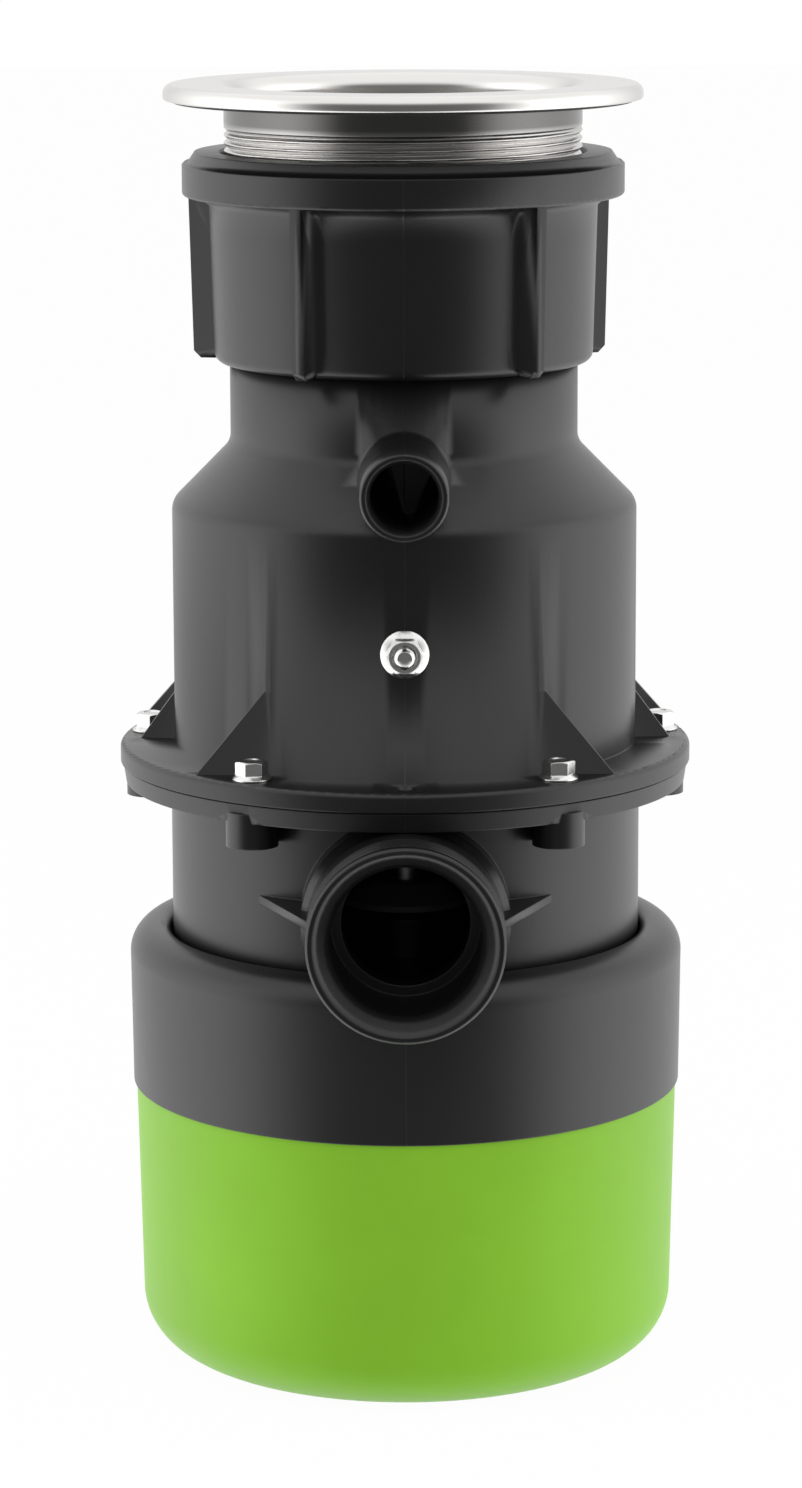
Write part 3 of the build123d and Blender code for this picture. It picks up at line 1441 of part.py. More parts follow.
# Bottom cup: tapered wall, big rounded corner, recessed base, spigot into the cover
cup_lean = (cup_top_radius - cup_base_radius) / (cup_height - cup_corner)
corner_bend = cup_corner * bend_share
inner_corner = cup_corner - cup_wall
inner_bend = inner_corner * sqrt(0.5)
gland_seat = cup_base_radius + cup_lean * (gland_height - cup_corner)
gland_root = sqrt(cup_inside**2 - gland_nut_flats**2 / 3) - fit_gap
button_spot = (0, protector_offset)
with BuildPart() as bottom_cup:
    with BuildSketch(Plane.XZ) as cup_half:
        with BuildLine():
            Polyline(
                (cup_base_radius, cup_corner),
                (cup_top_radius, cup_height),
                (0, cup_height),
                (0, 0),
                (cup_base_radius - cup_corner, 0),
            )
            ThreePointArc(
                (cup_base_radius - cup_corner, 0),
                (cup_base_radius - corner_bend, corner_bend),
                (cup_base_radius, cup_corner),
            )
        make_face()
    revolve(axis=Axis.Z)
    extrude(disc(cup_height, cup_spigot_radius), amount=cup_spigot_height)
    revolve(
        turned(
            (0, cup_wall),
            (cup_base_radius - cup_corner, cup_wall),
            (cup_base_radius - cup_corner + inner_bend, cup_corner - inner_bend),
            (cup_base_radius - cup_wall, cup_corner),
            (cup_inside, cup_height - cup_spigot_root),
            (cup_inside, cup_height + cup_spigot_height),
            (0, cup_height + cup_spigot_height),
        ),
        axis=Axis.Z,
        mode=Mode.SUBTRACT,
    )
    with BuildSketch(Plane.XY.offset(cup_wall)):
        with Locations(*[around(bell_leg_circle, azimuth) for azimuth in leg_azimuths]):
            Circle(bell_leg_radius + cup_wall)
        with Locations(button_spot):
            Rectangle(protector_width + cup_wall, protector_depth + cup_wall)
    extrude(amount=cup_floor - cup_wall)
    with BuildSketch(Plane.XY):
        with Locations(*[around(bell_leg_circle, azimuth) for azimuth in leg_azimuths]):
            Circle(base_screw_head + fit_gap)
        with Locations(button_spot):
            Circle(button_recess_radius)
    extrude(amount=base_recess_depth, mode=Mode.SUBTRACT)
    with BuildSketch(Plane.XY.offset(base_recess_depth)):
        with Locations(*[around(bell_leg_circle, azimuth) for azimuth in leg_azimuths]):
            Circle(base_screw_radius + bolt_hole_gap)
        with Locations(button_spot):
            Circle(button_radius + fit_gap)
    extrude(amount=cup_wall, mode=Mode.SUBTRACT)
    with BuildSketch(outward(180, gland_root, gland_height)):
        Circle(gland_radius + fit_gap)
    extrude(amount=gland_seat - gland_root + run_over, mode=Mode.SUBTRACT)
bottom_cup.part.label = "bottom_cup"
export_step(bottom_cup.part, "parts/bottom_cup.step")

with BuildPart() as base_screws:
    with BuildSketch(Plane.XY.offset(base_recess_depth)):
        with Locations(*[around(bell_leg_circle, azimuth) for azimuth in leg_azimuths]):
            Circle(base_screw_head)
    extrude(amount=-base_screw_head_height)
    with BuildSketch(Plane.XY.offset(base_recess_depth)):
        with Locations(*[around(bell_leg_circle, azimuth) for azimuth in leg_azimuths]):
            Circle(base_screw_radius)
    extrude(amount=cup_wall + base_screw_length - run_over)
    with BuildSketch(Plane.XY.offset(base_recess_depth - base_screw_head_height)):
        with Locations(*[around(bell_leg_circle, azimuth) for azimuth in leg_azimuths]):
            Rectangle(driver_cross_length, driver_cross_width)
            Rectangle(driver_cross_width, driver_cross_length)
    extrude(amount=driver_cross_depth, mode=Mode.SUBTRACT)
base_screws.part.label = "base_screws"
export_step(base_screws.part, "parts/base_screws.step")

# Cable gland at the back of the cup: flanged body and its nut inside
gland_face = gland_seat + fit_gap
gland_length = gland_face - gland_root + gland_nut_height + gland_end
with BuildPart() as cable_gland:
    with BuildSketch(outward(180, gland_face, gland_height)):
        Circle(gland_flange_radius)
    extrude(amount=gland_flange, taper=gland_taper)
    with BuildSketch(outward(180, gland_face, gland_height)):
        Circle(gland_radius)
    extrude(amount=-gland_length)
    with BuildSketch(outward(180, gland_face + gland_flange, gland_height)):
        Circle(gland_bore)
    extrude(amount=-(gland_flange + gland_length), mode=Mode.SUBTRACT)
cable_gland.part.label = "cable_gland"
export_step(cable_gland.part, "parts/cable_gland.step")

with BuildPart() as gland_nut:
    with BuildSketch(outward(180, gland_root, gland_height)):
        RegularPolygon(gland_nut_flats / 2, 6, major_radius=False)
        Circle(gland_radius + bearing_gap, mode=Mode.SUBTRACT)
    extrude(amount=-gland_nut_height)
gland_nut.part.label = "gland_nut"
export_step(gland_nut.part, "parts/gland_nut.step")

# Overload protector on the cup's floor, with its push button and spring
button_foot = button_stand_back
button_collar_foot = cup_floor + fit_gap
with BuildPart() as overload_protector:
    with BuildSketch(Plane.XY.offset(cup_floor)):
        with Locations(button_spot):
            Rectangle(protector_width, protector_depth)
    extrude(amount=protector_height)
    with BuildSketch(Plane.XY.offset(cup_floor)):
        with Locations(button_spot):
            Circle(button_collar_radius + fit_gap)
    extrude(amount=protector_height - protector_roof, mode=Mode.SUBTRACT)
overload_protector.part.label = "overload_protector"
export_step(overload_protector.part, "parts/overload_protector.step")

with BuildPart() as reset_button:
    with BuildSketch(Plane.XY.offset(button_foot)):
        with Locations(button_spot):
            Circle(button_radius)
    extrude(amount=button_collar_foot - button_foot + button_collar_height)
    with BuildSketch(Plane.XY.offset(button_collar_foot)):
        with Locations(button_spot):
            Circle(button_collar_radius)
    extrude(amount=button_collar_height)
reset_button.part.label = "reset_button"
export_step(reset_button.part, "parts/reset_button.step")

button_spring_foot = button_collar_foot + button_collar_height
button_spring_room = protector_top - protector_roof - button_spring_foot
with BuildPart() as button_spring:
    spring_base = Plane(origin=(0, protector_offset, button_spring_foot + button_spring_wire))
    button_coil = spring_base.location * Helix(
        pitch=(button_spring_room - 2 * button_spring_wire) / button_spring_turns,
        height=button_spring_room - 2 * button_spring_wire,
        radius=button_radius - button_spring_inset,
    )
    with BuildSketch(Plane(origin=button_coil @ 0, z_dir=button_coil % 0)):
        Circle(button_spring_wire)
    sweep(path=button_coil, is_frenet=True)
button_spring.part.label = "button_spring"
export_step(button_spring.part, "parts/button_spring.step")

# Rectifier board beside the motor, on a clip round the can
board_gap = (cup_inside - can_radius - board_thickness - rectifier_thickness) / 3
board_distance = can_radius + board_gap
board_middle = can_foot + can_length / 2
bracket_foot = board_middle - bracket_height / 2
clip_bore = can_radius + bearing_gap
with BuildPart() as board_bracket:
    extrude(disc(bracket_foot, clip_bore + bracket_thickness, clip_bore), amount=bracket_height)
    with BuildSketch(outward(board_azimuth, can_radius, board_middle)):
        Rectangle(board_width / 2, bracket_height)
    extrude(amount=board_gap)
    extrude(disc(bracket_foot, clip_bore), amount=bracket_height, mode=Mode.SUBTRACT)
    with BuildSketch(outward(board_azimuth + 180, can_radius - run_over, board_middle)):
        Rectangle(bracket_opening, bracket_height)
    extrude(amount=bracket_thickness + 2 * run_over, mode=Mode.SUBTRACT)
board_bracket.part.label = "board_bracket"
export_step(board_bracket.part, "parts/board_bracket.step")

with BuildPart() as rectifier_board:
    with BuildSketch(outward(board_azimuth, board_distance, board_middle)):
        Rectangle(board_width, board_height)
    extrude(amount=board_thickness)
rectifier_board.part.label = "rectifier_board"
export_step(rectifier_board.part, "parts/rectifier_board.step")

with BuildPart() as bridge_rectifier:
    with BuildSketch(outward(board_azimuth, board_distance + board_thickness, board_middle)):
        with Locations((0, rectifier_lift)):
            Rectangle(rectifier_width, rectifier_height)
    extrude(amount=rectifier_thickness)
bridge_rectifier.part.label = "bridge_rectifier"
export_step(bridge_rectifier.part, "parts/bridge_rectifier.step")

print("height", round(rim_top, 2), "width", 2 * flange_radius)
print("nut travel for one turn", sleeve_pitch)
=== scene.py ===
import json
from math import cos, pi, radians, sin

import bmesh
import bpy
import numpy as np
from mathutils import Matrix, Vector


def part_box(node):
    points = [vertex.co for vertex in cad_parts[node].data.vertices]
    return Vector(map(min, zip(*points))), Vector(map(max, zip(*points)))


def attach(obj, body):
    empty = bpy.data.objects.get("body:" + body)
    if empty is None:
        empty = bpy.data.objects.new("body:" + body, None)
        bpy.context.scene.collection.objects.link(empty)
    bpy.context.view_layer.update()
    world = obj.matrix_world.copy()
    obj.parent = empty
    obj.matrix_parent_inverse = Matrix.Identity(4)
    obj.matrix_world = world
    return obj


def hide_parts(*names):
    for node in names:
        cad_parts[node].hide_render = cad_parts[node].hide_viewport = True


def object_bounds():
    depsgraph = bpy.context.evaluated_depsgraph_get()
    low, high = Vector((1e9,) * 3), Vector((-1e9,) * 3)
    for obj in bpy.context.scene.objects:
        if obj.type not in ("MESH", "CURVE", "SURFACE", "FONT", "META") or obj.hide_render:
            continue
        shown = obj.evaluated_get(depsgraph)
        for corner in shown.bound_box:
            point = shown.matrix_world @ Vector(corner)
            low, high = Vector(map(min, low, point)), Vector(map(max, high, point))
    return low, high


# Food waste disposer on a white studio floor. Metres, +Z up, the pipes face -Y.
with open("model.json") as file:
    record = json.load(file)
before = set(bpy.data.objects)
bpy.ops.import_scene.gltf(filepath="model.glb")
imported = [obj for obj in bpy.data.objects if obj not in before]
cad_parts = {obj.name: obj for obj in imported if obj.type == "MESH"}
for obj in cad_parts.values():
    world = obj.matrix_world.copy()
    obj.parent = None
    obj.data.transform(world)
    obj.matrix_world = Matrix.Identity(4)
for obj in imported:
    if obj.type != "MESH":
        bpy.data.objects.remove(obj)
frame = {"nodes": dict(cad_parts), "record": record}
cad_low, cad_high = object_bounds()
MM = 0.001

# Studio: the camera stands in front of the pipes and looks down a little
PICTURE_HEIGHT_PX = 1488
FOCAL_LENGTH_PX = 4759.8
SENSOR_MM = 36.0
CAMERA_DISTANCE = 1.1809
CAMERA_HEIGHT = 0.3895
CAMERA_PITCH = 0.195692
CAMERA_ROLL = radians(0.19)
AXIS_OFFSET_PX = 1.0

# Places that the dressing shares with the frame
FLANGE_LOW, FLANGE_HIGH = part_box("sink_flange")
BOLT_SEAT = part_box("grind_housing")[0].z + 4.7 * MM

# Band of the sleeve where the rim's shade is painted into its colour: where it starts and ends, and its
# radii
SHADE_TOP = FLANGE_HIGH.z - 3.4 * MM
SHADE_FOOT = FLANGE_HIGH.z - 12.0 * MM
SLEEVE_SKIN = (43.0 * MM, 46.0 * MM)


class Signal:
    """One shader output. Python's operators on it add Math nodes."""

    def __init__(self, finish, socket):
        self.finish = finish
        self.socket = socket

    def __add__(self, other):
        return self.finish.maths("ADD", self, other)

    def __sub__(self, other):
        return self.finish.maths("SUBTRACT", self, other)

    def __mul__(self, other):
        return self.finish.maths("MULTIPLY", self, other)

    def __truediv__(self, other):
        return self.finish.maths("DIVIDE", self, other)

    def __lt__(self, other):
        return self.finish.maths("LESS_THAN", self, other)

    def __gt__(self, other):
        return self.finish.maths("GREATER_THAN", self, other)

    def __pow__(self, other):
        return self.finish.maths("POWER", self, other)

    def __neg__(self):
        return self * -1.0

    def __abs__(self):
        return self.finish.maths("ABSOLUTE", self)

    def __rsub__(self, other):
        return self.finish.maths("SUBTRACT", other, self)

    def __rtruediv__(self, other):
        return self.finish.maths("DIVIDE", other, self)

    __radd__ = __add__
    __rmul__ = __mul__


class Finish:
    """A surface finish made of shader nodes."""

    def __init__(self, name):
        self.material = bpy.data.materials.new(name)
        self.material.use_nodes = True
        self.tree = self.material.node_tree
        self.tree.nodes.clear()
        self.place = self.add("ShaderNodeTexCoord", output="Object")
        split = self.add("ShaderNodeSeparateXYZ", inputs={"Vector": self.place}, output=None)
        self.x, self.y, self.z = (Signal(self, split.outputs[axis]) for axis in range(3))

    def add(self, kind, settings=None, inputs=None, output=0):
        """Adds a node, sets it, then fills or links its sockets, and gives one output or the node."""
        node = self.tree.nodes.new(kind)
        for key, value in (settings or {}).items():
            if key == "stops":
                stops = node.color_ramp.elements
                for place, (position, colour) in enumerate(value):
                    stop = stops[place] if place < 2 else stops.new(position)
                    stop.position = position
                    stop.color = colour
            else:
                setattr(node, key, value)
        for key, value in (inputs or {}).items():
            if isinstance(value, Signal):
                self.tree.links.new(value.socket, node.inputs[key])
            else:
                node.inputs[key].default_value = value
        return node if output is None else Signal(self, node.outputs[output])

    def maths(self, operation, *values):
        return self.add("ShaderNodeMath", {"operation": operation}, dict(enumerate(values)))

    def clamp(self, value, low=0.0, high=1.0):
        return self.add("ShaderNodeClamp", None, {"Value": value, "Min": low, "Max": high})

    def noise(self, per_metre, detail=3.0, roughness=0.5, vector=None):
        inputs = {"Vector": vector or self.place, "Scale": per_metre}
        return self.add("ShaderNodeTexNoise", None, inputs | {"Detail": detail, "Roughness": roughness})

    def stretched(self, scale, vector=None):
        inputs = {"Vector": vector or self.place, "Scale": scale}
        return self.add("ShaderNodeMapping", None, inputs)

    def join(self, x, y, z):
        return self.add("ShaderNodeCombineXYZ", None, {"X": x, "Y": y, "Z": z})

    def blend(self, amount, first, second):
        settings = {"data_type": "RGBA", "clamp_factor": True}
        inputs = {0: amount, 6: first, 7: second}
        return self.add("ShaderNodeMix", settings, inputs, output=2)

    def steps(self, value, *stops):
        """Colour ramp over a value: pairs of position and grey level."""
        grey = [(position, (level, level, level, 1.0)) for position, level in stops]
        return self.add("ShaderNodeValToRGB", {"stops": grey}, {"Fac": value})

    def soft_edges(self, radius, samples=6):
        return self.add("ShaderNodeBevel", {"samples": samples}, {"Radius": radius})

    def bump(self, height, distance, strength=1.0, normal=None):
        inputs = {"Height": height, "Distance": distance, "Strength": strength}
        if normal is not None:
            inputs["Normal"] = normal
        return self.add("ShaderNodeBump", None, inputs)

    def surface(self, **sockets):
        """Closes the finish with a Principled shader: socket names with _ for a space."""
        inputs = {name.replace("_", " "): value for name, value in sockets.items()}
        shader = self.add("ShaderNodeBsdfPrincipled", None, inputs)
        self.add("ShaderNodeOutputMaterial", None, {"Surface": shader}, output=None)
        return self.material


class Sky(Finish):
    """The world's shader, made with the same helpers. x, y and z are the way a ray goes."""

    def __init__(self, name):
        self.world = bpy.data.worlds.new(name)
        self.world.use_nodes = True
        self.tree = self.world.node_tree
        self.tree.nodes.clear()
        self.place = self.add("ShaderNodeTexCoord", output="Generated")
        split = self.add("ShaderNodeSeparateXYZ", inputs={"Vector": self.place}, output=None)
        self.x, self.y, self.z = (Signal(self, split.outputs[axis]) for axis in range(3))


def colour(red, green, blue):
    """Linear colour of an sRGB colour given in 0 to 255."""

    def linear(level):
        share = level / 255
        return share / 12.92 if share <= 0.04045 else ((share + 0.055) / 1.055) ** 2.4

    return (linear(red), linear(green), linear(blue), 1.0)


def tinted(base, factor):
    return tuple(min(1.0, channel * factor) for channel in base[:3]) + (1.0,)


def moulded(name, base, roughness, specular, mould_line=0.0, grain=0.00003, edge=0.0005):
    """Moulded plastic: fine spark-eroded grain, cloudy sheen, rubbed edges and a mould line in front."""
    finish = Finish(name)
    cloud = finish.noise(22.0, 4.0, 0.55)
    flow = finish.noise(7.0, 2.0, 0.5, finish.stretched((1.0, 1.0, 0.35)))
    scuff = finish.noise(160.0, 5.0, 0.7, finish.stretched((1.0, 1.0, 0.4)))
    speck = finish.noise(2600.0, 2.0, 0.6)
    shade = finish.blend(cloud, tinted(base, 0.86), tinted(base, 1.16))
    dust = finish.clamp((speck - 0.72) * 6.0) * finish.clamp((cloud - 0.45) * 3.0)
    shade = finish.blend(dust * 0.16, shade, tinted(base, 3.0))
    rub = finish.clamp((scuff - 0.58) * 4.0)
    height = speck * 0.7 + finish.noise(700.0, 2.0, 0.5) * 0.3
    if mould_line > 0:
        along = finish.clamp(1.0 - abs(finish.x) / (mould_line * MM)) * (finish.y < 0.0)
        height = height + along
        shade = finish.blend(along * 0.30, shade, tinted(base, 3.0))
    normal = finish.bump(height, grain, 1.0, finish.soft_edges(edge))
    rough = roughness + (cloud - 0.5) * 0.10 + (flow - 0.5) * 0.10 - rub * 0.05
    return finish.surface(
        Base_Color=shade,
        Roughness=finish.clamp(rough, 0.15, 0.9),
        Specular_IOR_Level=specular,
        Normal=normal,
    )


def spun_steel(name, base, roughness, line_depth=0.000006):
    """Stainless turned or polished round the axis, so its fine lines are circles. The sleeve's outer skin
    has painted shade: its colour is dull and dark where the rim shades it."""
    finish = Finish(name)
    radius = finish.maths("SQRT", finish.x * finish.x + finish.y * finish.y)
    rings = finish.noise(1.0, 3.0, 0.6, finish.join(radius * 5200.0, finish.z * 5200.0, 0.0))
    wide = finish.noise(1.0, 2.0, 0.5, finish.join(radius * 700.0, finish.z * 700.0, 0.0))
    cloud = finish.noise(30.0, 3.0, 0.5)
    smear = finish.clamp((finish.noise(75.0, 5.0, 0.65) - 0.55) * 3.0)
    shade = finish.blend(cloud, tinted(base, 0.95), tinted(base, 1.04))
    shade = finish.blend(smear * 0.12, shade, tinted(base, 0.8))
    # Painted shade: below the rim the sleeve's outer skin is darkened in its colour, standing in for the
    # rim's shadow.
    depth = (SHADE_TOP - finish.z) / (SHADE_TOP - SHADE_FOOT)
    painted_rim_shade = (radius > SLEEVE_SKIN[0]) * (radius < SLEEVE_SKIN[1]) * (finish.z < SHADE_TOP)
    painted_rim_shade = painted_rim_shade * finish.clamp(3.0 - depth * 3.0)
    shade = finish.blend(painted_rim_shade, shade, tinted(base, 0.2))
    normal = finish.bump(rings * 0.7 + wide * 0.3, line_depth, 1.0, finish.soft_edges(0.0004))
    return finish.surface(
        Base_Color=shade,
        Metallic=1.0,
        Roughness=finish.clamp(roughness + (rings - 0.5) * 0.10 + smear * 0.08, 0.08, 0.7),
        Normal=normal,
    )


def plated(name, base, roughness, tarnish=0.2, edge=0.0003):
    """Plated or bare metal fittings: slight orange peel, dull patches and handling marks."""
    finish = Finish(name)
    cloud = finish.noise(140.0, 4.0, 0.6)
    patch = finish.clamp((finish.noise(420.0, 4.0, 0.6) - 0.5) * 4.0)
    fine = finish.noise(2400.0, 3.0, 0.6)
    shade = finish.blend(patch * tarnish, base, tinted(base, 0.55))
    normal = finish.bump(fine * 0.6 + cloud * 0.4, 0.00002, 1.0, finish.soft_edges(edge))
    return finish.surface(
        Base_Color=shade,
        Metallic=1.0,
        Roughness=finish.clamp(roughness + (cloud - 0.5) * 0.16 + patch * 0.10, 0.06, 0.8),
        Normal=normal,
    )


def soft_rubber(name, base):
    """Matt rubber with a faint bloom."""
    finish = Finish(name)
    bloom = finish.noise(70.0, 4.0, 0.6)
    grain = finish.noise(1500.0, 2.0, 0.6)
    shade = finish.blend(finish.clamp((bloom - 0.4) * 2.5) * 0.5, base, tinted(base, 2.4))
    normal = finish.bump(grain, 0.00005, 1.0, finish.soft_edges(0.0004))
    return finish.surface(
        Base_Color=shade,
        Roughness=finish.clamp(0.62 + (bloom - 0.5) * 0.2, 0.3, 0.95),
        Specular_IOR_Level=0.35,
        Normal=normal,
    )


def wound_copper(name, base):
    """Enamelled wire laid in turns up the axis."""
    finish = Finish(name)
    turns = finish.maths("SINE", finish.z * (2 * pi / (0.9 * MM)))
    cloud = finish.noise(120.0, 3.0, 0.5)
    # Painted shade: the colour is darker in the grooves between turns, where shade falls.
    shade = finish.blend(finish.clamp(turns * 0.5 + 0.5), tinted(base, 0.45), base)
    return finish.surface(
        Base_Color=finish.blend(cloud * 0.3, shade, tinted(base, 1.3)),
        Metallic=1.0,
        Roughness=finish.clamp(0.32 + (cloud - 0.5) * 0.2, 0.1, 0.8),
        Normal=finish.bump(turns, 0.0002),
    )


# Finishes, one for each material slot of the record
BLACK = colour(18, 18, 19)
CHARCOAL = colour(24, 24, 25)
GREEN = colour(125, 183, 34)
STEEL = (0.50, 0.49, 0.475, 1.0)
ZINC = (0.55, 0.55, 0.54, 1.0)

FINISHES = {
    "black_plastic": moulded("black_plastic", BLACK, 0.34, 0.35, mould_line=0.16),
    "charcoal_plastic": moulded("charcoal_plastic", CHARCOAL, 0.36, 0.35, mould_line=0.12),
    "green_plastic": moulded("green_plastic", GREEN, 0.45, 0.3, grain=0.000015),
    "stainless": spun_steel("stainless", STEEL, 0.24),
    "zinc_steel": plated("zinc_steel", ZINC, 0.20),
    "spring_steel": plated("spring_steel", (0.42, 0.42, 0.44, 1.0), 0.32),
    "rubber": soft_rubber("rubber", colour(24, 24, 25)),
    "brass": plated("brass", (0.74, 0.53, 0.24, 1.0), 0.28, 0.4),
    "copper": wound_copper("copper", (0.78, 0.34, 0.17, 1.0)),
    "motor_steel": plated("motor_steel", (0.45, 0.45, 0.46, 1.0), 0.34, 0.3),
    "ferrite": soft_rubber("ferrite", colour(60, 60, 64)),
    "carbon": soft_rubber("carbon", colour(38, 38, 40)),
    "cast_aluminium": plated("cast_aluminium", (0.62, 0.62, 0.64, 1.0), 0.48, 0.3),
    "grey_nylon": moulded("grey_nylon", colour(72, 72, 76), 0.50, 0.4),
    "board_laminate": moulded("board_laminate", colour(36, 92, 52), 0.38, 0.5),
    "red_plastic": moulded("red_plastic", colour(190, 24, 20), 0.30, 0.5),
}
SLOT_OF = {entry["node"]: entry["material_slot"] for entry in frame["record"]["subparts"]}
BODY_OF = {
    node: body for body, members in frame["record"]["behaviour"]["bodies"].items() for node in members
}


def place(name, mesh, finish):
    """Links a mesh as an object at the origin, in one finish."""
    mesh.materials.clear()
    mesh.materials.append(FINISHES[finish])
    piece = bpy.data.objects.new(name, mesh)
    bpy.context.scene.collection.objects.link(piece)
    return piece


def stand_for(piece, *nodes):
    """The piece rides where the nodes do and takes their place."""
    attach(piece, BODY_OF[nodes[0]])
    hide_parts(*nodes)
    return piece


def smooth(mesh, angle):
    mesh.shade_smooth()
    mesh.set_sharp_from_angle(angle=radians(angle))


# Centre lines that round faces of the frame turn about: a point, the direction, and how far out
UP = (0.0, 0.0, 1.0)
FORWARD = (0.0, -1.0, 0.0)
PIPE_AXIS = 123.6 * MM
INLET_AXIS = 229.7 * MM
ROUND_AXES = [
    ((0.0, 0.0, 0.0), UP, 100.0 * MM),
    ((0.0, 0.0, PIPE_AXIS), FORWARD, 26.0 * MM),
    ((0.0, 0.0, INLET_AXIS), FORWARD, 13.0 * MM),
]
BOSS_REACH = 7.0 * MM
# What makes a face turned, level or part of a straight slope
ALIKE = 0.9965
FLAT = 0.9998
STRAIGHT = 3.0 * MM


def true_round(mesh, axes=ROUND_AXES):
    """Gives each corner on a face turned about an axis its exact normal, so that no facet shows.
    A face that is long up the axis is on a cylinder or a cone, so its longest side gives the slope."""
    faces = len(mesh.polygons)
    if any(polygon.loop_total != 3 for polygon in mesh.polygons):
        return
    corners = np.empty(faces * 3, np.int32)
    mesh.loops.foreach_get("vertex_index", corners)
    corners = corners.reshape(faces, 3)
    points = np.empty(len(mesh.vertices) * 3)
    mesh.vertices.foreach_get("co", points)
    points = points.reshape(-1, 3)[corners]
    facing = np.empty(faces * 3)
    mesh.polygons.foreach_get("normal", facing)
    facing = facing.reshape(faces, 3)
    shaded = np.empty(faces * 9)
    mesh.corner_normals.foreach_get("vector", shaded)
    shaded = shaded.reshape(faces, 3, 3)
    smoothed = shaded.copy()
    least = np.full(faces, np.inf)
    for origin, direction, limit in axes:
        along = np.array(direction)
        spokes = points - np.array(origin)
        heights = spokes @ along
        spokes = spokes - heights[..., None] * along
        reach = np.linalg.norm(spokes, axis=2)
        middle = spokes.mean(axis=1)
        own = facing @ along
        across = facing - own[:, None] * along
        size = np.linalg.norm(across, axis=1)
        likeness = (across * middle).sum(axis=1) / np.maximum(size * np.linalg.norm(middle, axis=1), 1e-12)
        within = (reach.min(axis=1) > 1e-4) & (reach.max(axis=1) < limit)
        turned = (np.abs(likeness) > ALIKE) & (size > 0.06) & within
        outline = np.stack([reach, heights], axis=2)
        sides = np.roll(outline, -1, axis=1) - outline
        length = np.linalg.norm(sides, axis=2)
        longest = sides[np.arange(faces), length.argmax(axis=1)]
        length = np.maximum(length.max(axis=1), 1e-9)
        straight = turned & (length > STRAIGHT)
        slope = -longest[:, 0] * np.sign(longest[:, 1] * likeness) / length
        rise = np.where(straight[:, None], slope[:, None], smoothed @ along)
        seam = np.full(len(mesh.vertices), np.nan)
        seam[corners[straight]] = slope[straight][:, None]
        shared = seam[corners]
        rise = np.where(~straight[:, None] & (np.abs(shared - rise) < 0.2), shared, rise)
        rise = np.clip(rise, -0.999, 0.999)
        level = np.sqrt(1 - rise**2)[..., None] * np.sign(likeness)[:, None, None]
        exact = spokes / np.maximum(reach, 1e-9)[..., None] * level + rise[..., None] * along
        misfit = ((exact - facing[:, None]) ** 2).sum(axis=(1, 2))
        chosen = turned & (misfit < least)
        least = np.where(chosen, misfit, least)
        shaded[chosen] = exact[chosen]
        flat = np.abs(own) > FLAT
        shaded[flat] = facing[flat][:, None]
    mesh.normals_split_custom_set(shaded.reshape(-1, 3).tolist())


def polished_copy(node, angle=32.0, weld=0.000004):
    """A copy of a CAD node with its triangles welded, so that its round faces shade round."""
    mesh = frame["nodes"][node].data.copy()
    shell = bmesh.new()
    shell.from_mesh(mesh)
    bmesh.ops.remove_doubles(shell, verts=shell.verts, dist=weld)
    bmesh.ops.dissolve_degenerate(shell, edges=shell.edges, dist=weld)
    clean = bpy.data.meshes.new(node + "_shell")
    shell.to_mesh(clean)
    shell.free()
    smooth(clean, angle)
    bolt_spots = [spot_on_circle(BOLT_CIRCLE, azimuth, 0.0)[:3] for azimuth in BOLT_AZIMUTHS]
    bolt_axes = [(spot, UP, BOSS_REACH) for spot in bolt_spots]
    true_round(clean, ROUND_AXES + (bolt_axes if node == "drain_housing" else []))
    return stand_for(place(node + "_shell", clean, SLOT_OF[node]), node)


def lathe(name, outline, sides=192, shift=None, angle=30.0):
    """Closed ring turned about the axis. The outline runs anticlockwise in (radius, height), and
    shift(radius, height, turn) may move a point's radius."""
    shell = bmesh.new()
    columns = []
    for side in range(sides):
        turn = 2 * pi * side / sides
        column = []
        for radius, height in outline:
            out = shift(radius, height, turn) if shift else radius
            column.append(shell.verts.new((out * cos(turn), out * sin(turn), height)))
        columns.append(column)
    count = len(outline)
    for side in range(sides):
        near, far = columns[side], columns[(side + 1) % sides]
        for row in range(count):
            after = (row + 1) % count
            shell.faces.new((near[row], far[row], far[after], near[after]))
    bmesh.ops.recalc_face_normals(shell, faces=shell.faces)
    mesh = bpy.data.meshes.new(name)
    shell.to_mesh(mesh)
    shell.free()
    smooth(mesh, angle)
    return mesh


def arc(centre, radius, start, end, steps=8):
    """Points along an arc in (radius, height), angles in degrees from straight out."""
    points = []
    for step in range(steps + 1):
        angle = radians(start + (end - start) * step / steps)
        points.append((centre[0] + radius * cos(angle), centre[1] + radius * sin(angle)))
    return points


def rows(radius, low, high, spacing):
    """Points straight up a wall, close enough together to carry a thread."""
    count = max(2, round((high - low) / spacing))
    return [(radius, low + (high - low) * step / count) for step in range(count + 1)]


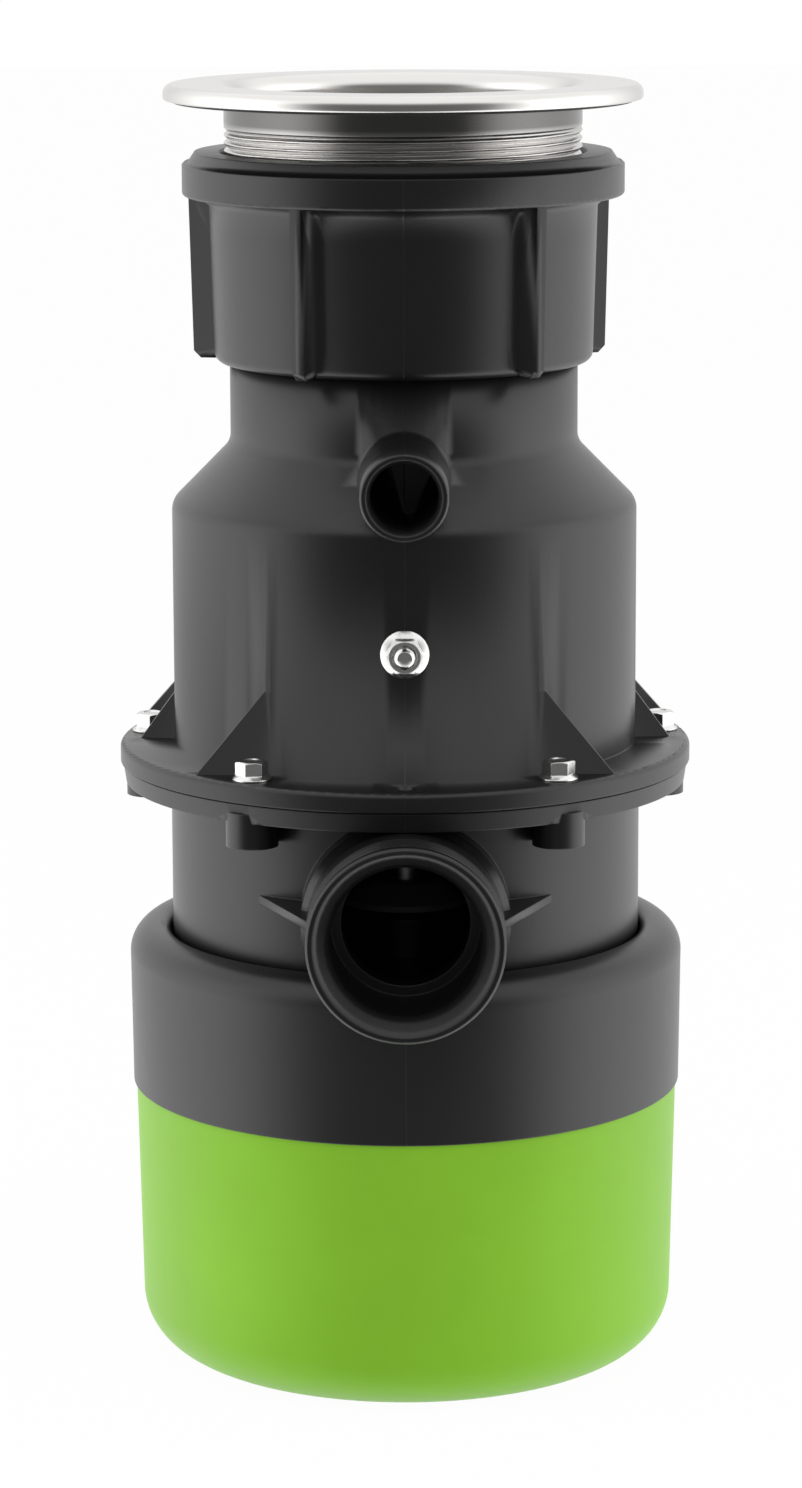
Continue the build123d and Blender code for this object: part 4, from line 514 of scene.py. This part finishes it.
def sink_flange():
    """Spun rim with a rolled edge, a soft mouth and a sleeve with a true helical thread."""
    top = FLANGE_HIGH.z
    foot = FLANGE_LOW.z
    edge = FLANGE_HIGH.x
    bore = 42.0 * MM
    crest = 44.25 * MM
    pitch = 2.0 * MM
    depth = 0.95 * MM
    sheet = 1.2 * MM
    lip = 3.9 * MM
    roll = 2.4 * MM
    mouth = 4.0 * MM
    thread_top = top - 10.1 * MM
    thread_foot = foot + 1.5 * MM
    outline = rows(bore, foot + 0.6 * MM, top - mouth, 0.012)
    outline += arc((bore + mouth, top - mouth), mouth, 180, 90, 14)[1:]
    outline += [(edge - roll - 0.003, top), (edge - roll - 0.0005, top)]
    outline += arc((edge - roll, top - roll), roll, 90, 0, 12)
    outline += arc((edge - sheet / 2, top - lip + sheet / 2), sheet / 2, 0, -180, 8)
    outline += arc((edge - sheet - roll / 2, top - sheet - roll / 2), roll / 2, 0, 90, 6)
    outline += [(crest + sheet, top - sheet)] + arc((crest + sheet, top - 2 * sheet), sheet, 90, 180, 5)
    wall = rows(crest, foot + 0.6 * MM, thread_top + pitch, pitch / 10)
    outline += list(reversed(wall))
    outline += [(crest - 0.6 * MM, foot), (bore + 0.4 * MM, foot)]

    def thread(radius, height, turn):
        if abs(radius - crest) > 1e-7 or not thread_foot < height < thread_top:
            return radius
        phase = (height / pitch - turn / (2 * pi)) % 1.0
        valley = max(0.0, 1.0 - abs(phase - 0.5) / 0.42)
        run_out = min(1.0, (thread_top - height) / (0.8 * pitch), (height - thread_foot) / (0.8 * pitch))
        return radius - depth * valley * run_out

    outline.reverse()
    spun = lathe("sink_flange_spun", outline, 256, thread, 40.0)
    return stand_for(place("sink_flange_spun", spun, "stainless"), "sink_flange")


def hexagon(flats, turn):
    """Radius of a hexagon at an angle, for a distance across its flats."""
    sector = (turn % (pi / 3)) - pi / 6
    return flats / 2 / cos(sector)


def hex_form(name, levels, sides=72):
    """Solid from rings of points up an axis. A level gives its radius and height at an angle."""
    shell = bmesh.new()
    rings = []
    for level in levels:
        ring = []
        for side in range(sides):
            turn = 2 * pi * side / sides
            radius, height = level(turn)
            ring.append(shell.verts.new((radius * cos(turn), radius * sin(turn), height)))
        rings.append(ring)
    for low, high in zip(rings, rings[1:]):
        for side in range(sides):
            after = (side + 1) % sides
            shell.faces.new((low[side], low[after], high[after], high[side]))
    shell.faces.new(list(reversed(rings[0])))
    shell.faces.new(rings[-1])
    mesh = bpy.data.meshes.new(name)
    shell.to_mesh(mesh)
    shell.free()
    smooth(mesh, 24.0)
    return mesh


def round_level(radius, height):
    return lambda turn: (radius * MM, height * MM)


def flange_screw_mesh():
    """Hexagon flange screw, head up, its flange's underside at height 0."""
    flats, head, skirt, skirt_edge, top_radius = 7.0, 4.7, 4.8, 0.45, 3.25
    slope = 0.5

    def hex_low(turn):
        return hexagon(flats, turn) * MM, 1.35 * MM

    def hex_high(turn):
        radius = hexagon(flats, turn)
        return radius * MM, (head - (radius - top_radius) * slope) * MM

    levels = [
        round_level(2.0, -13.0),
        round_level(2.0, 0.0),
        round_level(skirt - 0.1, 0.0),
        round_level(skirt, 0.12),
        round_level(skirt, skirt_edge),
        round_level(skirt - 0.15, skirt_edge + 0.12),
        hex_low,
        hex_high,
        round_level(top_radius, head),
        round_level(top_radius - 0.5, head),
        round_level(top_radius - 1.0, head - 0.35),
        round_level(0.9, head - 0.45),
    ]
    return hex_form("flange_screw", levels)


def stud_nut_mesh():
    """Hexagon flange nut, its seat at height 0, open for the stud."""
    flats, top, skirt, skirt_edge, top_radius, bore = 8.0, 4.8, 5.9, 0.6, 3.75, 2.55
    slope = 0.5

    def hex_low(turn):
        return hexagon(flats, turn) * MM, 1.5 * MM

    def hex_high(turn):
        radius = hexagon(flats, turn)
        return radius * MM, (top - (radius - top_radius) * slope) * MM

    return [
        round_level(bore, 0.0),
        round_level(skirt - 0.12, 0.0),
        round_level(skirt, 0.12),
        round_level(skirt, skirt_edge),
        round_level(skirt - 0.15, skirt_edge + 0.12),
        hex_low,
        hex_high,
        round_level(top_radius, top),
        round_level(bore + 0.5, top),
        round_level(bore, top - 0.45),
    ]


def threaded_rod(name, crest, low, high, pitch, depth, bevel):
    """Threaded stud up an axis with bevelled ends."""
    outline = [(0.00001, low), (crest - bevel, low)]
    outline += rows(crest, low + bevel, high - bevel, pitch / 8)
    outline += [(crest - bevel, high), (0.00001, high)]

    def thread(radius, height, turn):
        if abs(radius - crest) > 1e-8:
            return radius
        phase = (height / pitch - turn / (2 * pi)) % 1.0
        return radius - depth * max(0.0, 1.0 - abs(phase - 0.5) / 0.45)

    return lathe(name, outline, 40, thread, 50.0)


def point_outwards(mesh, distance, height):
    """Turns a piece made up +Z so that it points to the front at a distance from the axis."""
    for vertex in mesh.vertices:
        x, y, z = vertex.co
        vertex.co = (x, -distance - z, height + y)
    return mesh


SET_OUT_INPUTS = (
    ("Points", "Geometry"),
    ("Fitting", "Object"),
    ("Size", "Float"),
    ("Loose turn", "Float"),
    ("Finish", "Material"),
)
LOOSE_SEED = 7


def set_out_tree():
    """Geometry Nodes that set copies of one fitting on points, each turned by its yaw."""
    tree = bpy.data.node_groups.new("set_out", "GeometryNodeTree")
    faces = tree.interface
    for name, kind in SET_OUT_INPUTS:
        faces.new_socket(name, in_out="INPUT", socket_type="NodeSocket" + kind)
    faces.new_socket("Fittings", in_out="OUTPUT", socket_type="NodeSocketGeometry")

    def add(kind, **settings):
        node = tree.nodes.new(kind)
        for key, value in settings.items():
            setattr(node, key, value)
        return node

    inlet = add("NodeGroupInput")
    outlet = add("NodeGroupOutput")
    fitting = add("GeometryNodeObjectInfo")
    yaw = add("GeometryNodeInputNamedAttribute", data_type="FLOAT")
    yaw.inputs["Name"].default_value = "yaw"
    loose = add("FunctionNodeRandomValue", data_type="FLOAT")
    loose.inputs["Seed"].default_value = LOOSE_SEED
    whole = add("ShaderNodeMath", operation="ADD")
    turn = add("ShaderNodeCombineXYZ")
    size = add("ShaderNodeCombineXYZ")
    setter = add("GeometryNodeInstanceOnPoints")
    real = add("GeometryNodeRealizeInstances")
    paint = add("GeometryNodeSetMaterial")
    link = tree.links.new
    link(inlet.outputs["Fitting"], fitting.inputs["Object"])
    link(inlet.outputs["Loose turn"], loose.inputs[3])
    link(yaw.outputs[0], whole.inputs[0])
    link(loose.outputs[1], whole.inputs[1])
    link(whole.outputs[0], turn.inputs["Z"])
    for axis in range(3):
        link(inlet.outputs["Size"], size.inputs[axis])
    link(inlet.outputs["Points"], setter.inputs["Points"])
    link(fitting.outputs["Geometry"], setter.inputs["Instance"])
    link(turn.outputs[0], setter.inputs["Rotation"])
    link(size.outputs[0], setter.inputs["Scale"])
    link(setter.outputs[0], real.inputs[0])
    link(real.outputs[0], paint.inputs["Geometry"])
    link(inlet.outputs["Finish"], paint.inputs["Material"])
    link(paint.outputs[0], outlet.inputs[0])
    return tree


SET_OUT = set_out_tree()


def set_out(name, fitting_mesh, places, finish, loose_turn=0.0):
    """Copies a fitting to (x, y, z, yaw) places and gives the result as one plain piece."""
    fitting = bpy.data.objects.new(name + "_fitting", fitting_mesh)
    bpy.context.scene.collection.objects.link(fitting)
    points = bpy.data.meshes.new(name + "_points")
    points.from_pydata([spot[:3] for spot in places], [], [])
    yaws = points.attributes.new("yaw", "FLOAT", "POINT")
    yaws.data.foreach_set("value", [spot[3] for spot in places])
    holder = bpy.data.objects.new(name + "_holder", points)
    bpy.context.scene.collection.objects.link(holder)
    layout = holder.modifiers.new("set_out", "NODES")
    layout.node_group = SET_OUT
    values = {"Fitting": fitting, "Size": 1.0, "Loose turn": loose_turn, "Finish": FINISHES[finish]}
    for socket in SET_OUT.interface.items_tree:
        if socket.name in values:
            layout[socket.identifier] = values[socket.name]
    bpy.context.view_layer.update()
    evaluated = holder.evaluated_get(bpy.context.evaluated_depsgraph_get())
    mesh = bpy.data.meshes.new_from_object(evaluated)
    bpy.data.objects.remove(holder)
    bpy.data.objects.remove(fitting)
    mesh.name = name
    return place(name, mesh, finish)


BOLT_AZIMUTHS = (-34.7, 34.7, 98.0, 152.7, -152.7, -98.0)
BOLT_CIRCLE = 65.2 * MM
STUD_AZIMUTHS = (0.0, 120.0, 240.0)
STUD_HEIGHT = 188.8 * MM
STUD_FOOT = 50.7 * MM
STUD_END = 6.7 * MM


def spot_on_circle(circle, azimuth, height):
    """Place and yaw on a circle, azimuth in degrees from the front towards +X."""
    turn = radians(azimuth)
    return (circle * sin(turn), -circle * cos(turn), height, turn)


def flange_bolts():
    places = [spot_on_circle(BOLT_CIRCLE, azimuth, BOLT_SEAT) for azimuth in BOLT_AZIMUTHS]
    bolts = set_out("flange_bolts_set", flange_screw_mesh(), places, "zinc_steel", loose_turn=radians(60.0))
    return stand_for(bolts, "flange_bolts")


def stud_nuts():
    wall = 58.1 * MM
    nut = hex_form("stud_nut", stud_nut_mesh())
    point_outwards(nut, wall, STUD_HEIGHT)
    length = wall + STUD_END - STUD_FOOT
    stud = threaded_rod("ring_stud", 2.5 * MM, 0.0, length, 0.8 * MM, 0.35 * MM, 0.7 * MM)
    point_outwards(stud, STUD_FOOT, STUD_HEIGHT)
    places = [(0.0, 0.0, 0.0, radians(azimuth)) for azimuth in STUD_AZIMUTHS]
    stand_for(set_out("stud_nuts_set", nut, places, "zinc_steel"), "stud_nuts")
    stand_for(set_out("ring_studs_set", stud, places, "zinc_steel"), "ring_studs")


SHARP_ANGLE = {"mounting_nut": 28.0, "drain_housing": 26.0, "grind_housing": 26.0}


def dress_frame(done):
    """Every other node shows as its own welded shell, so that round faces shade round."""
    for node in sorted(frame["nodes"]):
        if node not in done:
            polished_copy(node, SHARP_ANGLE.get(node, 30.0))


# Studio. What a mirror would see at each way from front (0) to back (1), as shares of the peak
GLOW = (
    (0.0, 0.07),
    (0.125, 0.08),
    (0.275, 0.75),
    (0.4, 1.0),
    (0.55, 0.93),
    (0.75, 0.63),
    (0.95, 0.36),
    (1.0, 0.36),
)
GLOW_PEAK = 3.0
TOP_GLOW = 1.7
DIFFUSE_FILL = 0.62
LIT_MIDDLE = (0.0, 0.0, 0.17)
SIDE_POWER = 5.0
SIDE_BOX_PLACE = (0.95, -0.25, 0.35)
SIDE_BOX_SIZE = (0.9, 1.2)
TOP_POWER = 2.5
TOP_BOX_PLACE = (0.0, -0.35, 1.25)
TOP_BOX_SIZE = (0.9, 0.7)
FLOOR_WHITE = 0.97
FLOOR_HALF = 6.0
FLOOR_GAP = 0.2 * MM
WHITE = (1.0, 1.0, 1.0, 1.0)


def studio_glow(finish, toward_back):
    """Brightness of the studio's tall side panels, dark in front of the object."""
    return finish.steps(toward_back * 0.5 + 0.5, *GLOW) * GLOW_PEAK


def studio_floor():
    """White floor that still takes a faint shadow. In reflections it carries on the side panels."""
    corners = [(x * FLOOR_HALF, y * FLOOR_HALF) for x, y in ((-1, -1), (1, -1), (1, 1), (-1, 1))]
    mesh = bpy.data.meshes.new("studio_floor")
    mesh.from_pydata([(x, y, cad_low.z - FLOOR_GAP) for x, y in corners], [], [(0, 1, 2, 3)])
    finish = Finish("studio_floor")
    path = finish.add("ShaderNodeLightPath", output=None)
    seen = Signal(finish, path.outputs["Is Camera Ray"])
    mirrored = Signal(finish, path.outputs["Is Glossy Ray"])
    way = finish.add("ShaderNodeNewGeometry", output="Incoming")
    split = finish.add("ShaderNodeSeparateXYZ", None, {"Vector": way}, output=None)
    glow = studio_glow(finish, -Signal(finish, split.outputs["Y"]))
    matt = finish.add("ShaderNodeBsdfDiffuse", None, {"Color": (0.9, 0.9, 0.9, 1.0)})
    strength = seen + mirrored * glow
    white = finish.add("ShaderNodeEmission", None, {"Color": WHITE, "Strength": strength})
    mix = finish.add("ShaderNodeMixShader", None, {0: seen * FLOOR_WHITE + mirrored, 1: matt, 2: white})
    finish.add("ShaderNodeOutputMaterial", None, {"Surface": mix}, output=None)
    mesh.materials.append(finish.material)
    floor = bpy.data.objects.new("studio_floor", mesh)
    bpy.context.scene.collection.objects.link(floor)


def soft_box(name, where, size, power):
    """Area light that faces the middle of the part and doesn't show in reflections."""
    light = bpy.data.lights.new(name, "AREA")
    light.shape = "RECTANGLE"
    light.size, light.size_y = size
    light.energy = power
    lamp = bpy.data.objects.new(name, light)
    lamp.location = where
    lamp.rotation_euler = (Vector(LIT_MIDDLE) - Vector(where)).to_track_quat("-Z", "Y").to_euler()
    lamp.visible_glossy = False
    bpy.context.scene.collection.objects.link(lamp)


def studio_light():
    """White background, bright sides and top in reflections, and soft boxes for the matt light."""
    sky = Sky("studio")
    bpy.context.scene.world = sky.world
    path = sky.add("ShaderNodeLightPath", output=None)
    seen = Signal(sky, path.outputs["Is Camera Ray"])
    glossy = Signal(sky, path.outputs["Is Glossy Ray"])
    through = Signal(sky, path.outputs["Is Transmission Ray"])
    mirrored = sky.clamp(glossy + through)
    glow = studio_glow(sky, sky.y)
    high = sky.clamp((sky.z - 0.3) * 2.5)
    glow = glow + (TOP_GLOW - glow) * high
    unseen = DIFFUSE_FILL + (glow - DIFFUSE_FILL) * mirrored
    strength = seen + (1.0 - seen) * unseen
    background = sky.add("ShaderNodeBackground", None, {"Color": WHITE, "Strength": strength})
    sky.add("ShaderNodeOutputWorld", None, {"Surface": background}, output=None)
    x, y, z = SIDE_BOX_PLACE
    soft_box("left_soft_box", (-x, y, z), SIDE_BOX_SIZE, SIDE_POWER)
    soft_box("right_soft_box", (x, y, z), SIDE_BOX_SIZE, SIDE_POWER)
    soft_box("top_soft_box", TOP_BOX_PLACE, TOP_BOX_SIZE, TOP_POWER)


def studio_camera():
    data = bpy.data.cameras.new("camera")
    data.sensor_width = SENSOR_MM
    data.lens = FOCAL_LENGTH_PX / PICTURE_HEIGHT_PX * SENSOR_MM
    data.shift_x = -AXIS_OFFSET_PX / PICTURE_HEIGHT_PX
    data.clip_start = 0.01
    camera = bpy.data.objects.new("camera", data)
    camera.location = (0.0, -CAMERA_DISTANCE, CAMERA_HEIGHT)
    camera.rotation_mode = "XYZ"
    camera.rotation_euler = (pi / 2 - CAMERA_PITCH, CAMERA_ROLL, 0.0)
    bpy.context.scene.collection.objects.link(camera)
    bpy.context.scene.camera = camera


def main():
    sink_flange()
    flange_bolts()
    stud_nuts()
    dress_frame({"sink_flange", "flange_bolts", "stud_nuts", "ring_studs"})
    studio_floor()
    studio_light()
    studio_camera()
    bpy.context.scene.view_settings.view_transform = "Standard"


main()
